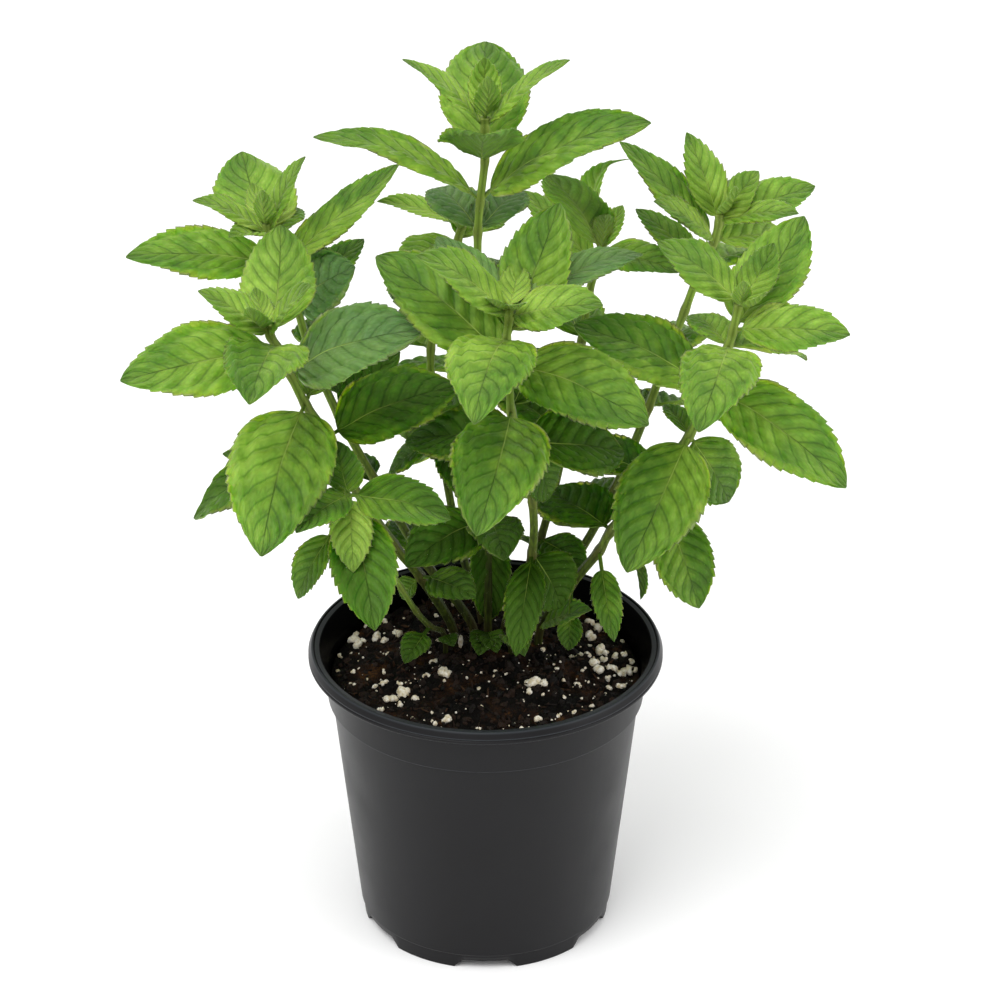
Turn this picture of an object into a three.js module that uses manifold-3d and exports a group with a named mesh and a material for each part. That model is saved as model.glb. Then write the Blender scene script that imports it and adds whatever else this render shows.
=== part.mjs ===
// A mint plant in a round moulded nursery pot, in millimetres, with +Z up.
// The pot stands on the floor at z = 0 with its axis on Z; -Y is the front of the plant.
import * as THREE from "three";
import { mergeVertices } from "three/addons/utils/BufferGeometryUtils.js";
import Module from "manifold-3d";

// Driving dimensions of the pot
const POT_HEIGHT = 134;
const RIM_DIAMETER = 155;
const RIM_WIDTH = 5.2; // flat ring round the mouth
const RIM_THICKNESS = 6;
const RIM_BEVEL = 1.5; // how much narrower the rim is at its top and at its underside
const RIM_SHOULDER = 3; // height of the bevel at its top
const WALL = 1.5;
const COLLAR_RADIUS = 69.1; // outer radius where the collar meets the wall
const COLLAR_HEIGHT = 24; // from the rim down to the step
const STEP = 1.9; // how far the collar stands out from the wall
const STEP_SLOPE = 2; // how much lower the wall takes over inside
const FLARE = 0.9; // how much the collar widens up to the rim
const FILLET = 3; // height of the slope between the collar and the rim
const EDGE = 0.5; // width of the small bevels along the pot's edges
const BAND_RADIUS = 55.8; // outer radius just above the foot band
const BAND_HEIGHT = 7;
const FOOT_RADIUS = 54.4;
const FOOT_COUNT = 6;
const NOTCH_HEIGHT = 4;
const NOTCH_TOP = 20; // width of a notch at its roof; its sides slope at 45 degrees
const NOTCH_DEPTH = 16; // how far a notch reaches across the foot band
const FLOOR_HEIGHT = 6.2; // upper face of the pot's floor
const FLOOR_THICKNESS = 1.9;
const DRAIN_RADIUS = 5;
const DRAIN_CIRCLE = 36;
const DRAIN_SIDES = 16;
const POT_SIDES = 36;

// Driving dimensions of the soil
const SOIL_LEVEL = 119; // height of the soil at the pot's wall
const SOIL_DOME = 6;
const SOIL_BUMP = 1;
const SOIL_RINGS = 6;
const GRAIN_COUNT = 22; // white grains that stand out of the soil
const GRAIN_RADIUS = 2;
const GRAIN_REACH = 0.84; // how far out the grains lie, of the radius of the soil
const GRAIN_SINK = 0.25; // how far a grain sits in the soil, of its radius
const GRAIN_CLEARANCE = 9; // from the middle of a grain to the middle of a stem
const GAP = 0.3; // clearance between pieces that touch
const SAME_PLACE = 1e-3; // vertices closer than this are one

// Driving dimensions of the plant
const STEM_FOOT = 1.9; // half the width of a stem where it leaves the soil
const STEM_TIP = 1.6; // half its width at the top
const ROOT_DEPTH = 26; // how deep a stem stands in its hole
const THINNER = { low_left: 0.6 }; // a side shoot, and its thickness next to the others
const RIB_THICKNESS = 1.3;
const STALK_WIDTH = 1.8;
const TOOTH_DEPTH = 0.06; // of half the blade's width
const TOOTH_POINT = 0.6; // where a tooth's point lies, from its notch to the next
const TOOTHED = [0.07, 0.99]; // the stretch of the blade's length that bears teeth
const WIDEST = 0.4; // where a blade is widest, from its base to its tip
const FULLNESS = 0.52; // the lower, the rounder the outline of a blade
const RIPPLE = 0.1; // wave of a blade's margin, of half its width
const RIPPLE_TURNS = 9; // radians of that wave from the stem to the tip
const FOLD = 0.12; // rise of the margin over the rib, of half the width
const YOUNG_FOLD = 0.35; // the same on a young leaf
const YOUNG_WIDTH = 16; // the widest young leaf
const BROAD_WIDTH = 17; // the widest leaf with the short list of rib points
const RIB_POINTS = { narrow: [0.35, 0.7], broad: [0.3, 0.55, 0.78] }; // from the stem to the tip
const TEETH = [[11, 2], [17, 3], [29, 4], [Infinity, 5]]; // a side, up to each blade width
const GOLDEN_ANGLE = 2.4; // radians between neighbours that must not look alike

// Each leafy stem: its joints [x, y, z] from the soil to the top, and its leaves as
// [joint, x, y, z of the tip, width, lean, arch, stalk, fold]. Lean turns the face of the
// blade to the front, arch is the rise of the blade over its chord, stalk the part of the
// length without a blade and fold the rise of the margin; the last four may be left out.
const LEAN = 0.2;
const ARCH = 0.07;
const STALK = 0.08;
const SHOOTS = {
  top: {
    joints: [
      [1, 14, 131], [1, 10, 190], [-1, 13, 246], [-2, 16, 292], [-3, 17, 305], [-3, 18, 323],
      [-2, 18, 337], [0, 18, 356], [0, 18, 370], [0, 18, 375],
    ],
    leaves: [
      [9, 0, 26, 399, 14, 0.2, -0.1],
      [9, 1, 10, 397, 11, 0.1, -0.1],
      [8, -34, 16, 402, 20, 0.05, 0.06],
      [8, 35, 16, 402, 20, 0.05, 0.06],
      [7, 0, -34, 391, 36, 0, -0.02, 0.08, 0.32],
      [7, 0, 88, 380, 38, 0.2, 0.06],
      [6, -71, 5, 372, 30, 0.05, 0.1],
      [6, 69, 8, 377, 34, 0.3, 0.1],
      [5, -22, 62, 323, 24],
      [5, 15, 58, 324, 22],
      [3, 8, 78, 281, 28, -0.3],
      [3, 32, 52, 289, 26, 0],
      [2, -34, 47, 210, 32],
      [2, 38, 47, 233, 32, 0],
      [1, -34, -22, 184, 30, 0.5],
      [1, 8, -40, 197, 24, 0.3],
      [1, 1, 20, 133, 18, 0.9],
      [0, -3, -4, 130, 13, 0.5, 0.12, 0.15],
      [0, 5, -4, 131, 12, 0.5, 0.12, 0.15],
    ],
  },
  front: {
    joints: [
      [12, 7, 132], [20, -12, 185], [20, -23, 217], [16, -34, 250], [11, -39, 267],
      [10, -47, 293], [9, -49, 305], [10, -52, 317], [10, -53, 322],
    ],
    leaves: [
      [8, 14, -29, 331, 14, 0.2, -0.1],
      [8, 1, -68, 333, 9, 0, -0.05],
      [8, 15, -69, 331, 8, 0, -0.05],
      [7, -27, -65, 351, 26, 0.4],
      [7, 48, -68, 330, 26, 0.4],
      [7, 66, 0, 321, 19, 0.3, 0.1],
      [7, -20, -5, 331, 20, 0.35, 0.06],
      [6, 31, -23, 355, 32, 0.3, -0.04],
      [6, -4, -125, 306, 36, 0.5, 0.1],
      [5, -45, -23, 331, 38, 0.5, 0.06],
      [5, 67, -75, 279, 38, 0.5, 0.1],
      [4, -3, -114, 249, 40, 0.5, 0.08],
      [4, 28, 31, 261, 34, 0],
      [3, 59, -10, 233, 34, 0.6],
      [3, -34, -8, 237, 30, 0.5],
      [1, 13, -43, 152, 17, 0.6, 0.1, 0.1],
      [1, 33, -10, 157, 28, 0.6],
      [3, 27, -14, 213, 20, 0.9],
      [0, 17, -17, 137, 14, 0.5, 0.15, 0.15],
    ],
  },
  left: {
    joints: [
      [-14, 15, 131], [-28, -2, 168], [-39, -10, 188], [-57, -18, 223], [-66, -23, 247],
      [-75, -26, 264], [-81, -26, 278], [-86, -26, 290], [-89, -26, 296], [-90, -26, 301],
    ],
    leaves: [
      [9, -96, -5, 308, 10, 0.2, -0.1],
      [9, -96, -49, 320, 12, 0.1, -0.1],
      [8, -118, -31, 319, 18, 0.4],
      [8, -71, -38, 325, 18, 0.35],
      [8, -87, 38, 317, 32, 0.3, -0.04],
      [7, -94, -99, 301, 34, 0.5, 0.1],
      [7, -150, -49, 287, 36, 0.6, 0.05],
      [6, -25, -44, 307, 38, 0.6, 0.1],
      [5, -91, -100, 232, 44, 0.5, 0.08],
      [5, -62, 30, 277, 24],
      [4, -11, -5, 262, 38, 0.4],
      [4, -125, -3, 197, 34, 0.3],
      [1, -4, -26, 171, 19, 0.5, 0.08, 0.2],
      [1, -36, -4, 158, 12, 0.3, 0.08, 0.2],
    ],
  },
  left_back: {
    joints: [
      [-6, 24, 129], [-27, 29, 159], [-48, 39, 193], [-64, 47, 221], [-76, 52, 250],
      [-82, 55, 271], [-89, 56, 289], [-93, 57, 303], [-94, 58, 308],
    ],
    leaves: [
      [8, -101, 81, 317, 11, 0.2, -0.1],
      [8, -95, 47, 329, 10, 0.2, -0.1],
      [7, -107, 113, 318, 36, 0.2, -0.04],
      [7, -125, 49, 323, 18, 0.15],
      [7, -77, 60, 339, 16, 0.1],
      [7, -81, 87, 302, 16, 0.3],
      [7, -109, 36, 312, 14, 0.3],
      [6, -154, 44, 299, 30, 0.4, 0.08],
      [6, -37, 68, 332, 22, 0.25, 0],
      [5, -53, 86, 288, 18, 0.2],
      [5, -56, 45, 294, 34, 0.7],
      [5, -113, 91, 256, 26, 0],
      [4, -61, 109, 233, 30, -0.3],
      [4, -63, 12, 250, 20, 0.2],
      [3, -37, 50, 251, 24, 0.5],
      [2, -117, 70, 190, 28, 0.3],
      [2, -84, 102, 166, 30, -0.2],
      [1, -38, 81, 151, 24, -0.2],
    ],
  },
  right: {
    joints: [
      [24, 16, 132], [37, 0, 163], [49, -4, 182], [54, -6, 193], [72, -13, 223], [86, -18, 245],
      [94, -21, 269], [101, -23, 289], [103, -23, 297], [105, -23, 309],
    ],
    leaves: [
      [9, 120, -8, 330, 17, 0.3, -0.1],
      [9, 106, -34, 325, 8, 0.1, -0.1],
      [9, 115, -39, 322, 9, 0.1, -0.1],
      [9, 71, -18, 335, 24, 0.4],
      [8, 151, -34, 300, 27, 0.4],
      [8, 134, 16, 331, 32, 0.2, -0.04],
      [7, 86, -96, 287, 33, 0.5, 0.1],
      [7, 136, 5, 269, 24, 0],
      [7, 87, 10, 288, 18, 0],
      [6, 150, -57, 241, 36, 0.5, 0.12],
      [6, 37, -8, 292, 36, 0.3],
      [5, 59, -65, 205, 38, 0.5, 0.08],
      [5, 104, -10, 209, 27, 1],
      [5, 76, 5, 248, 10, 0.2],
      [4, 91, -37, 172, 26, 0.5, 0.08, 0.3],
      [4, 30, 42, 205, 28, 0.3],
      [3, 26, 40, 187, 32, 0.3],
      [3, 68, 17, 146, 10, 0.3, 0.08, 0.3],
      [2, 55, -39, 157, 13, 0.5, 0.08, 0.25],
      [0, 46, -17, 160, 14, 0.8, 0.08, 0.2],
      [1, 36, -12, 137, 11, 0.8, 0.07, 0.45],
    ],
  },
  right_back: {
    joints: [
      [18, 26, 129], [39, 29, 159], [56, 39, 188], [71, 44, 227], [78, 47, 249], [86, 49, 271],
      [92, 52, 288], [98, 53, 302], [100, 53, 311], [100, 53, 315],
    ],
    leaves: [
      [9, 100, 75, 321, 11, 0.2, -0.1],
      [9, 106, 44, 332, 10, 0.2, -0.1],
      [8, 86, 65, 348, 18, 0.3],
      [8, 117, 60, 332, 18, 0.3],
      [8, 142, 68, 321, 26, 0.3],
      [8, 133, 36, 323, 16, 0.3],
      [7, 57, 57, 347, 20, 0.4, 0.06],
      [7, 71, 31, 331, 18, 0.5],
      [7, 132, 78, 292, 24, 0.4],
      [6, 65, 78, 306, 16, 0.2],
      [6, 126, 101, 273, 28, -0.2],
      [4, 95, 107, 234, 30, -0.3],
      [4, 56, 95, 229, 28, 0],
      [3, 105, 91, 196, 30, -0.2],
      [3, 46, 87, 201, 28, 0],
      [2, 33, 78, 163, 28, -0.2],
      [2, 78, 74, 155, 28, 0],
    ],
  },
  mid_back_right: {
    joints: [
      [9, 31, 127], [24, 42, 162], [35, 57, 204], [42, 68, 247], [45, 71, 268], [48, 74, 279],
      [50, 75, 287], [51, 75, 291],
    ],
    leaves: [
      [7, 49, 95, 304, 9, 0.2, -0.1],
      [6, 26, 50, 335, 28, -0.5],
      [7, 62, 75, 331, 12, -0.35, 0.4],
      [6, 60, 95, 300, 10],
      [6, 83, 52, 288, 22, 0.3],
      [5, 15, 99, 305, 18, 0.2],
      [6, 51, 52, 315, 10, -0.3],
      [3, 33, 127, 238, 30, -0.3],
      [2, 70, 114, 179, 32, -0.3],
      [2, 6, 109, 197, 30, -0.3],
      [1, 43, 8, 165, 20, 0.5],
    ],
  },
  mid_back_left: {
    joints: [
      [-2, 35, 128], [-12, 42, 162], [-20, 57, 204], [-24, 68, 243], [-15, 72, 272],
      [-12, 73, 293], [-10, 74, 300],
    ],
    leaves: [
      [6, -47, 75, 311, 13, 0.3],
      [6, -12, 104, 298, 14, 0.2, -0.1],
      [6, -14, 57, 313, 10, 0.2, -0.1],
      [5, -37, 42, 295, 20, 0.3],
      [5, 6, 108, 290, 22, 0],
      [4, 6, 120, 257, 28, -0.3],
      [4, -41, 112, 246, 24, -0.2],
      [3, -54, 117, 226, 30, -0.2],
      [2, -43, 66, 182, 20, 0.3],
      [2, -6, 31, 186, 16, 0.3],
    ],
  },
  low_left: {
    joints: [
      [-18, 9, 132], [-24, 0, 142], [-30, -9, 155], [-36, -24, 175], [-46, -49, 209],
      [-55, -57, 231], [-56, -60, 239],
    ],
    leaves: [
      [6, -54, -86, 217, 18, 0.5],
      [6, -62, -25, 246, 18, 0.3, -0.05],
      [6, -14, -70, 233, 26, 0.4],
      [6, -77, -91, 238, 20, 0.3],
      [6, -72, -52, 231, 9, 0.3],
      [5, -45, -101, 198, 28, 0.6],
      [1, -35, -20, 135, 13, 0.4, 0.1, 0.3],
      [5, -78, -64, 192, 15, 0.5, 0.15, 0.3],
      [0, -14, -1, 133, 9, 0.4, 0.08, 0.2],
    ],
  },
  back: {
    joints: [[2, 48, 128], [0, 68, 153], [-2, 86, 186], [0, 94, 217], [1, 96, 235], [1, 98, 241]],
    leaves: [
      [5, -2, 107, 261, 14, -0.1, -0.1],
      [5, 6, 91, 260, 10, 0.1, -0.1],
      [4, -31, 114, 249, 24, -0.1],
      [4, 30, 107, 252, 26, -0.1],
      [3, -4, 126, 183, 32, -0.6],
      [3, -53, 109, 209, 32, -0.3],
      [3, 49, 125, 202, 30, -0.3],
      [2, -35, 118, 159, 30, -0.5],
      [2, 30, 113, 149, 28, -0.5],
      [1, -20, 87, 135, 20, -0.3],
      [1, 24, 77, 138, 18, -0.3],
    ],
  },
};

const wasm = await Module();
wasm.setup();

const group = new THREE.Group();
group.name = "potted_mint";

const MATERIALS = {
  pot: { color: 0x25272a, roughness: 0.42, metalness: 0 },
  soil: { color: 0x2b211a, roughness: 0.95, metalness: 0 },
  leaf: { color: 0x4f7f3a, roughness: 0.6, metalness: 0 },
};

// A closed geometry as a solid, its vertices merged and its triangles of no area left out.
function closed(geometry) {
  geometry.deleteAttribute("normal");
  geometry.deleteAttribute("uv");
  const merged = mergeVertices(geometry, SAME_PLACE);
  const vertices = merged.attributes.position.array;
  const index = Array.from(merged.index.array);
  const triangles = [];
  for (let i = 0; i < index.length; i += 3) {
    const [a, b, c] = index.slice(i, i + 3);
    if (a !== b && b !== c && c !== a) triangles.push(a, b, c);
  }
  const mesh = { numProp: 3, vertProperties: vertices, triVerts: new Uint32Array(triangles) };
  return new wasm.Manifold(new wasm.Mesh(mesh));
}

// A closed solid from vertices [x, y, z] and triangles [a, b, c].
function solid(vertices, triangles) {
  return new wasm.Manifold(
    new wasm.Mesh({
      numProp: 3,
      vertProperties: new Float32Array(vertices.flat()),
      triVerts: new Uint32Array(triangles.flat()),
    }),
  );
}

// The pieces joined into one body, with any pocket that the joining seals filled in.
function fused(pieces) {
  const bodies = wasm.Manifold.union(pieces).decompose();
  return bodies.reduce((most, body) => (body.volume() > most.volume() ? body : most));
}

// A repeatable source of numbers from 0 to 1.
let seed = 7;
function random() {
  seed = (seed * 16807) % 2147483647;
  return seed / 2147483647;
}

function addMesh(name, body, material) {
  const mesh = body.getMesh();
  const geometry = new THREE.BufferGeometry();
  geometry.setAttribute("position", new THREE.BufferAttribute(mesh.vertProperties, 3));
  geometry.setIndex(new THREE.BufferAttribute(mesh.triVerts, 1));
  geometry.computeVertexNormals();
  const piece = new THREE.Mesh(geometry, new THREE.MeshStandardMaterial(MATERIALS[material]));
  piece.name = name;
  group.add(piece);
}

// ---- pot ----

function potProfile() {
  const rim = RIM_DIAMETER / 2;
  const mouth = rim - RIM_WIDTH;
  const step = POT_HEIGHT - COLLAR_HEIGHT;
  const wallTop = COLLAR_RADIUS - STEP;
  const underRim = POT_HEIGHT - RIM_THICKNESS;
  return [
    [0, FLOOR_HEIGHT - FLOOR_THICKNESS],
    [FOOT_RADIUS - WALL, FLOOR_HEIGHT - FLOOR_THICKNESS],
    [FOOT_RADIUS - WALL, 0],
    [FOOT_RADIUS, 0],
    [FOOT_RADIUS + EDGE, BAND_HEIGHT],
    [BAND_RADIUS, BAND_HEIGHT + EDGE],
    [wallTop, step - EDGE],
    [COLLAR_RADIUS, step],
    [COLLAR_RADIUS + FLARE, underRim - FILLET],
    [rim - RIM_BEVEL, underRim],
    [rim, underRim + RIM_BEVEL],
    [rim, POT_HEIGHT - RIM_SHOULDER],
    [rim - RIM_BEVEL, POT_HEIGHT - EDGE],
    [rim - RIM_BEVEL - EDGE, POT_HEIGHT],
    [mouth, POT_HEIGHT],
    [COLLAR_RADIUS + FLARE - WALL, underRim - FILLET - 2 * EDGE],
    [COLLAR_RADIUS - WALL, step],
    [wallTop - WALL, step - STEP_SLOPE],
    [BAND_RADIUS - 2 * WALL, FLOOR_HEIGHT],
    [0, FLOOR_HEIGHT],
  ];
}

// A wedge that cuts one notch between two feet, through the ring at the given angle.
function notch(angle) {
  const top = NOTCH_TOP / 2;
  const foot = top + NOTCH_HEIGHT + 1;
  const corners = [[-foot, -1], [foot, -1], [top, NOTCH_HEIGHT], [-top, NOTCH_HEIGHT]];
  const outline = new THREE.Shape(corners.map(([x, y]) => new THREE.Vector2(x, y)));
  const wedge = new THREE.ExtrudeGeometry(outline, { depth: NOTCH_DEPTH, bevelEnabled: false });
  wedge.rotateX(Math.PI / 2).rotateZ(Math.PI / 2);
  wedge.translate(FOOT_RADIUS - NOTCH_DEPTH / 2, 0, 0).rotateZ(angle);
  return closed(wedge);
}

// A drill through the pot's floor, at a distance from its middle.
function drill(distance, angle) {
  const bit = new THREE.CylinderGeometry(DRAIN_RADIUS, DRAIN_RADIUS, 2 * FLOOR_HEIGHT, DRAIN_SIDES);
  bit.rotateX(Math.PI / 2).translate(distance, 0, FLOOR_HEIGHT).rotateZ(angle);
  return closed(bit);
}

function pot() {
  const cuts = [drill(0, 0)];
  for (let k = 0; k < FOOT_COUNT; k++) {
    const angle = (2 * Math.PI * k) / FOOT_COUNT - Math.PI / 2;
    cuts.push(notch(angle), drill(DRAIN_CIRCLE, angle + Math.PI / FOOT_COUNT));
  }
  const profile = potProfile().map(([radius, height]) => new THREE.Vector2(radius, height));
  const body = new THREE.LatheGeometry(profile, POT_SIDES).rotateX(Math.PI / 2);
  return closed(body).subtract(wasm.Manifold.union(cuts));
}

// ---- stems ----

// A square tube along the points, with half-widths from foot to tip.
function squareTube(points, foot, tip) {
  const vertices = [];
  const triangles = [];
  const last = points.length - 1;
  points.forEach((p, i) => {
    const ahead = points[Math.min(i + 1, last)].clone().sub(points[Math.max(i - 1, 0)]).normalize();
    const side = new THREE.Vector3(1, 0, 0).cross(ahead).normalize();
    const other = ahead.clone().cross(side);
    const half = foot + ((tip - foot) * i) / last;
    for (const [a, b] of [[1, 1], [-1, 1], [-1, -1], [1, -1]]) {
      const corner = p.clone().addScaledVector(side, a * half).addScaledVector(other, b * half);
      vertices.push(corner.toArray());
    }
  });
  for (let i = 0; i < last; i++) {
    for (let k = 0; k < 4; k++) {
      const a = 4 * i + k;
      const b = 4 * i + ((k + 1) % 4);
      triangles.push([a, b, b + 4], [a, b + 4, a + 4]);
    }
  }
  const end = 4 * last;
  triangles.push([2, 1, 0], [3, 2, 0], [end, end + 1, end + 2], [end, end + 2, end + 3]);
  return solid(vertices, triangles);
}

// The points of a stem on a smooth curve that rises from a depth in the soil, straight under
// the first joint, through the joints, two between each two joints.
function stemPoints(joints, depth) {
  const root = joints[0].clone().setZ(joints[0].z - depth);
  const curve = new THREE.CatmullRomCurve3([root, ...joints], false, "catmullrom", 0.5);
  const spans = joints.length;
  const points = [curve.getPoint(0)];
  for (let i = 0; i < 2 * spans; i++) points.push(curve.getPoint((i + 0.5) / (2 * spans)));
  points.push(curve.getPoint(1));
  return points;
}

// ---- leaves ----

// Half the width of a blade at t, from 0 at its base to 1 at its tip.
function halfWidth(width, t) {
  const spread = Math.pow(t / WIDEST, FULLNESS);
  const taper = Math.pow((1 - t) / (1 - WIDEST), FULLNESS * (1 / WIDEST - 1));
  return (width / 2) * spread * taper;
}

// The margin of a blade as [t, half-width]: notch and tooth by turns, teeth pointing forward.
function bladeMargin(width) {
  const teeth = TEETH.find(([widest]) => width <= widest)[1];
  const pitch = (TOOTHED[1] - TOOTHED[0]) / teeth;
  const margin = [];
  for (let k = 0; k < teeth; k++) {
    const notch = TOOTHED[0] + pitch * k;
    const tooth = notch + TOOTH_POINT * pitch;
    margin.push([notch, halfWidth(width, notch) * (1 - TOOTH_DEPTH)]);
    margin.push([tooth, halfWidth(width, tooth) * (1 + TOOTH_DEPTH / 2)]);
  }
  return margin;
}

// Triangles from a margin of many points to a rib of few. Both lists end at the same point,
// and their first two points are the two ends of the stalk.
function strip(margin, rib) {
  const faces = [[margin[0], rib[0], margin[1]], [rib[0], rib[1], margin[1]]];
  let r = 1;
  for (let i = 1; i < margin.length - 1; i++) {
    faces.push([margin[i], rib[r], margin[i + 1]]);
    if (r < rib.length - 2 && i * (rib.length - 2) >= r * (margin.length - 2)) {
      faces.push([rib[r], rib[r + 1], margin[i + 1]]);
      r++;
    }
  }
  return faces;
}

// One leaf from the centre of its stem to its tip: a toothed, folded, arched blade on a stalk.
// Its two faces meet at the margin and stand apart at the rib.
function leaf(base, tip, width, lean, arch, stalk, fold, phase) {
  const chord = tip.clone().sub(base);
  const length = chord.length();
  const along = chord.clone().normalize();
  const up = new THREE.Vector3(0, -lean, 1);
  up.addScaledVector(along, -up.dot(along)).normalize();
  const side = along.clone().cross(up);
  const vertices = [];
  // Adds the point at u along the blade and v across it, raised a little, and returns its number.
  const addPoint = (u, v, half, raise) => {
    const rise = arch * length * 4 * u * (1 - u);
    const wave = RIPPLE * Math.sin(RIPPLE_TURNS * u + phase * (1 + v)) * Math.abs(v);
    const lift = rise + half * (fold * Math.abs(v) + wave);
    const p = base.clone().addScaledVector(along, u * length);
    p.addScaledVector(side, v * half).addScaledVector(up, lift + raise);
    return vertices.push(p.toArray()) - 1;
  };
  const margin = bladeMargin(width).map(([t, half]) => [stalk + (1 - stalk) * t, half]);
  margin.unshift([0, STALK_WIDTH / 2], [stalk, STALK_WIDTH / 2]);
  const point = addPoint(1, 0, 0, 0);
  const [left, right] = [-1, 1].map((v) => [...margin.map(([u, half]) => addPoint(u, v, half, 0)), point]);
  const ribs = [0, stalk, ...(width > BROAD_WIDTH ? RIB_POINTS.broad : RIB_POINTS.narrow)];
  const [upper, lower] = [1, -1].map((face) => {
    const rib = ribs.map((u) => addPoint(u, 0, 0, (face * RIB_THICKNESS) / 2));
    return [...rib, point];
  });
  const turnRound = ([a, b, c]) => [a, c, b];
  const triangles = [
    ...strip(left, upper),
    ...strip(right, upper).map(turnRound),
    ...strip(left, lower).map(turnRound),
    ...strip(right, lower),
    [left[0], lower[0], upper[0]],
    [right[0], upper[0], lower[0]],
  ];
  return solid(vertices, triangles);
}

// The square stem of a shoot, made wider and deeper by a clearance for its hole.
function stemTube(name, clearance) {
  const nodes = SHOOTS[name].joints.map((j) => new THREE.Vector3(...j));
  const share = THINNER[name] ?? 1;
  const points = stemPoints(nodes, ROOT_DEPTH + clearance);
  return squareTube(points, share * STEM_FOOT + clearance, share * STEM_TIP + clearance);
}

// A whole leafy stem as one body.
function shoot(name) {
  const { joints, leaves } = SHOOTS[name];
  const nodes = joints.map((j) => new THREE.Vector3(...j));
  const stem = stemTube(name, 0);
  const blades = leaves.map((row, k) => {
    const [joint, x, y, z, width, lean = LEAN, arch = ARCH, stalk = STALK, stated] = row;
    const fold = stated ?? (width < YOUNG_WIDTH ? YOUNG_FOLD : FOLD);
    const tip = new THREE.Vector3(x, y, z);
    return leaf(nodes[joint], tip, width, lean, arch, stalk, fold, GOLDEN_ANGLE * k);
  });
  return fused([stem, ...blades]);
}

// ---- soil ----

// Height of the soil's top, which rises to a low dome round the stems and is bumpy all over.
function soilHeight(x, y) {
  const radius = COLLAR_RADIUS - WALL;
  const dome = SOIL_DOME * (1 - (x * x + y * y) / (radius * radius));
  const bumps = Math.sin(0.31 * x + 1) * Math.sin(0.27 * y) + Math.sin(0.13 * x - 0.17 * y + 2);
  return SOIL_LEVEL + dome + SOIL_BUMP * bumps;
}

// Outer radius of the soil at height z: the pot's inner wall less the gap.
function soilWall(z) {
  const step = POT_HEIGHT - COLLAR_HEIGHT;
  const collar = COLLAR_RADIUS - WALL;
  const wallTop = collar - STEP;
  const wallFoot = BAND_RADIUS - 2 * WALL;
  const slope = (wallTop - wallFoot) / (step - STEP_SLOPE - FLOOR_HEIGHT);
  const inner = z >= step ? collar : wallFoot + slope * (z - FLOOR_HEIGHT);
  return inner - 1.3 * GAP;
}

// The soil as one closed solid: a bumpy top of rings, then the wall and the flat underside.
function soilBody() {
  const step = POT_HEIGHT - COLLAR_HEIGHT;
  const outline = [
    [soilWall(SOIL_LEVEL), SOIL_LEVEL],
    [soilWall(step), step],
    [soilWall(step - STEP_SLOPE), step - STEP_SLOPE],
    [soilWall(FLOOR_HEIGHT), FLOOR_HEIGHT + GAP],
  ];
  const vertices = [[0, 0, soilHeight(0, 0)]];
  const triangles = [];
  const ring = (radius, height) => {
    for (let k = 0; k < POT_SIDES; k++) {
      const angle = (2 * Math.PI * k) / POT_SIDES;
      const x = radius * Math.cos(angle);
      const y = radius * Math.sin(angle);
      vertices.push([x, y, height ?? soilHeight(x, y)]);
    }
  };
  for (let i = 1; i < SOIL_RINGS; i++) ring((outline[0][0] * i) / SOIL_RINGS);
  for (const [radius, height] of outline) ring(radius, height);
  vertices.push([0, 0, FLOOR_HEIGHT + GAP]);
  const rings = SOIL_RINGS - 1 + outline.length;
  for (let k = 0; k < POT_SIDES; k++) {
    const next = (k + 1) % POT_SIDES;
    triangles.push([0, 1 + k, 1 + next]);
    for (let i = 0; i < rings - 1; i++) {
      const a = 1 + i * POT_SIDES;
      const b = a + POT_SIDES;
      triangles.push([a + k, b + k, b + next], [a + k, b + next, a + next]);
    }
    const low = 1 + (rings - 1) * POT_SIDES;
    triangles.push([low + k, vertices.length - 1, low + next]);
  }
  return solid(vertices, triangles);
}

// Angular white grains, sunk a little over half into the soil on a spiral that fills its top evenly.
function grains(stemFeet) {
  const made = [];
  for (let k = 0; k < GRAIN_COUNT; k++) {
    const distance = GRAIN_REACH * soilWall(SOIL_LEVEL) * Math.sqrt((k + 0.5) / GRAIN_COUNT);
    const x = distance * Math.cos(GOLDEN_ANGLE * k);
    const y = distance * Math.sin(GOLDEN_ANGLE * k);
    const clear = stemFeet.every((foot) => Math.hypot(foot.x - x, foot.y - y) > GRAIN_CLEARANCE);
    const size = GRAIN_RADIUS * (0.6 + 0.8 * random());
    const turns = [random(), random(), random()].map((part) => 2 * Math.PI * part);
    const grain = new THREE.OctahedronGeometry(size).scale(1, 0.75, 0.85);
    grain.rotateX(turns[0]).rotateY(turns[1]).rotateZ(turns[2]);
    grain.translate(x, y, soilHeight(x, y) - GRAIN_SINK * size);
    if (clear) made.push(closed(grain));
  }
  return made;
}

function soil(names) {
  const feet = names.map((name) => new THREE.Vector3(...SHOOTS[name].joints[0]));
  const holes = names.map((name) => stemTube(name, GAP));
  return fused([soilBody(), ...grains(feet)]).subtract(wasm.Manifold.union(holes));
}

addMesh("pot", pot(), "pot");
addMesh("soil", soil(Object.keys(SHOOTS)), "soil");
for (const name of Object.keys(SHOOTS)) addMesh("shoot_" + name, shoot(name), "leaf");

export default group;
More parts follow.
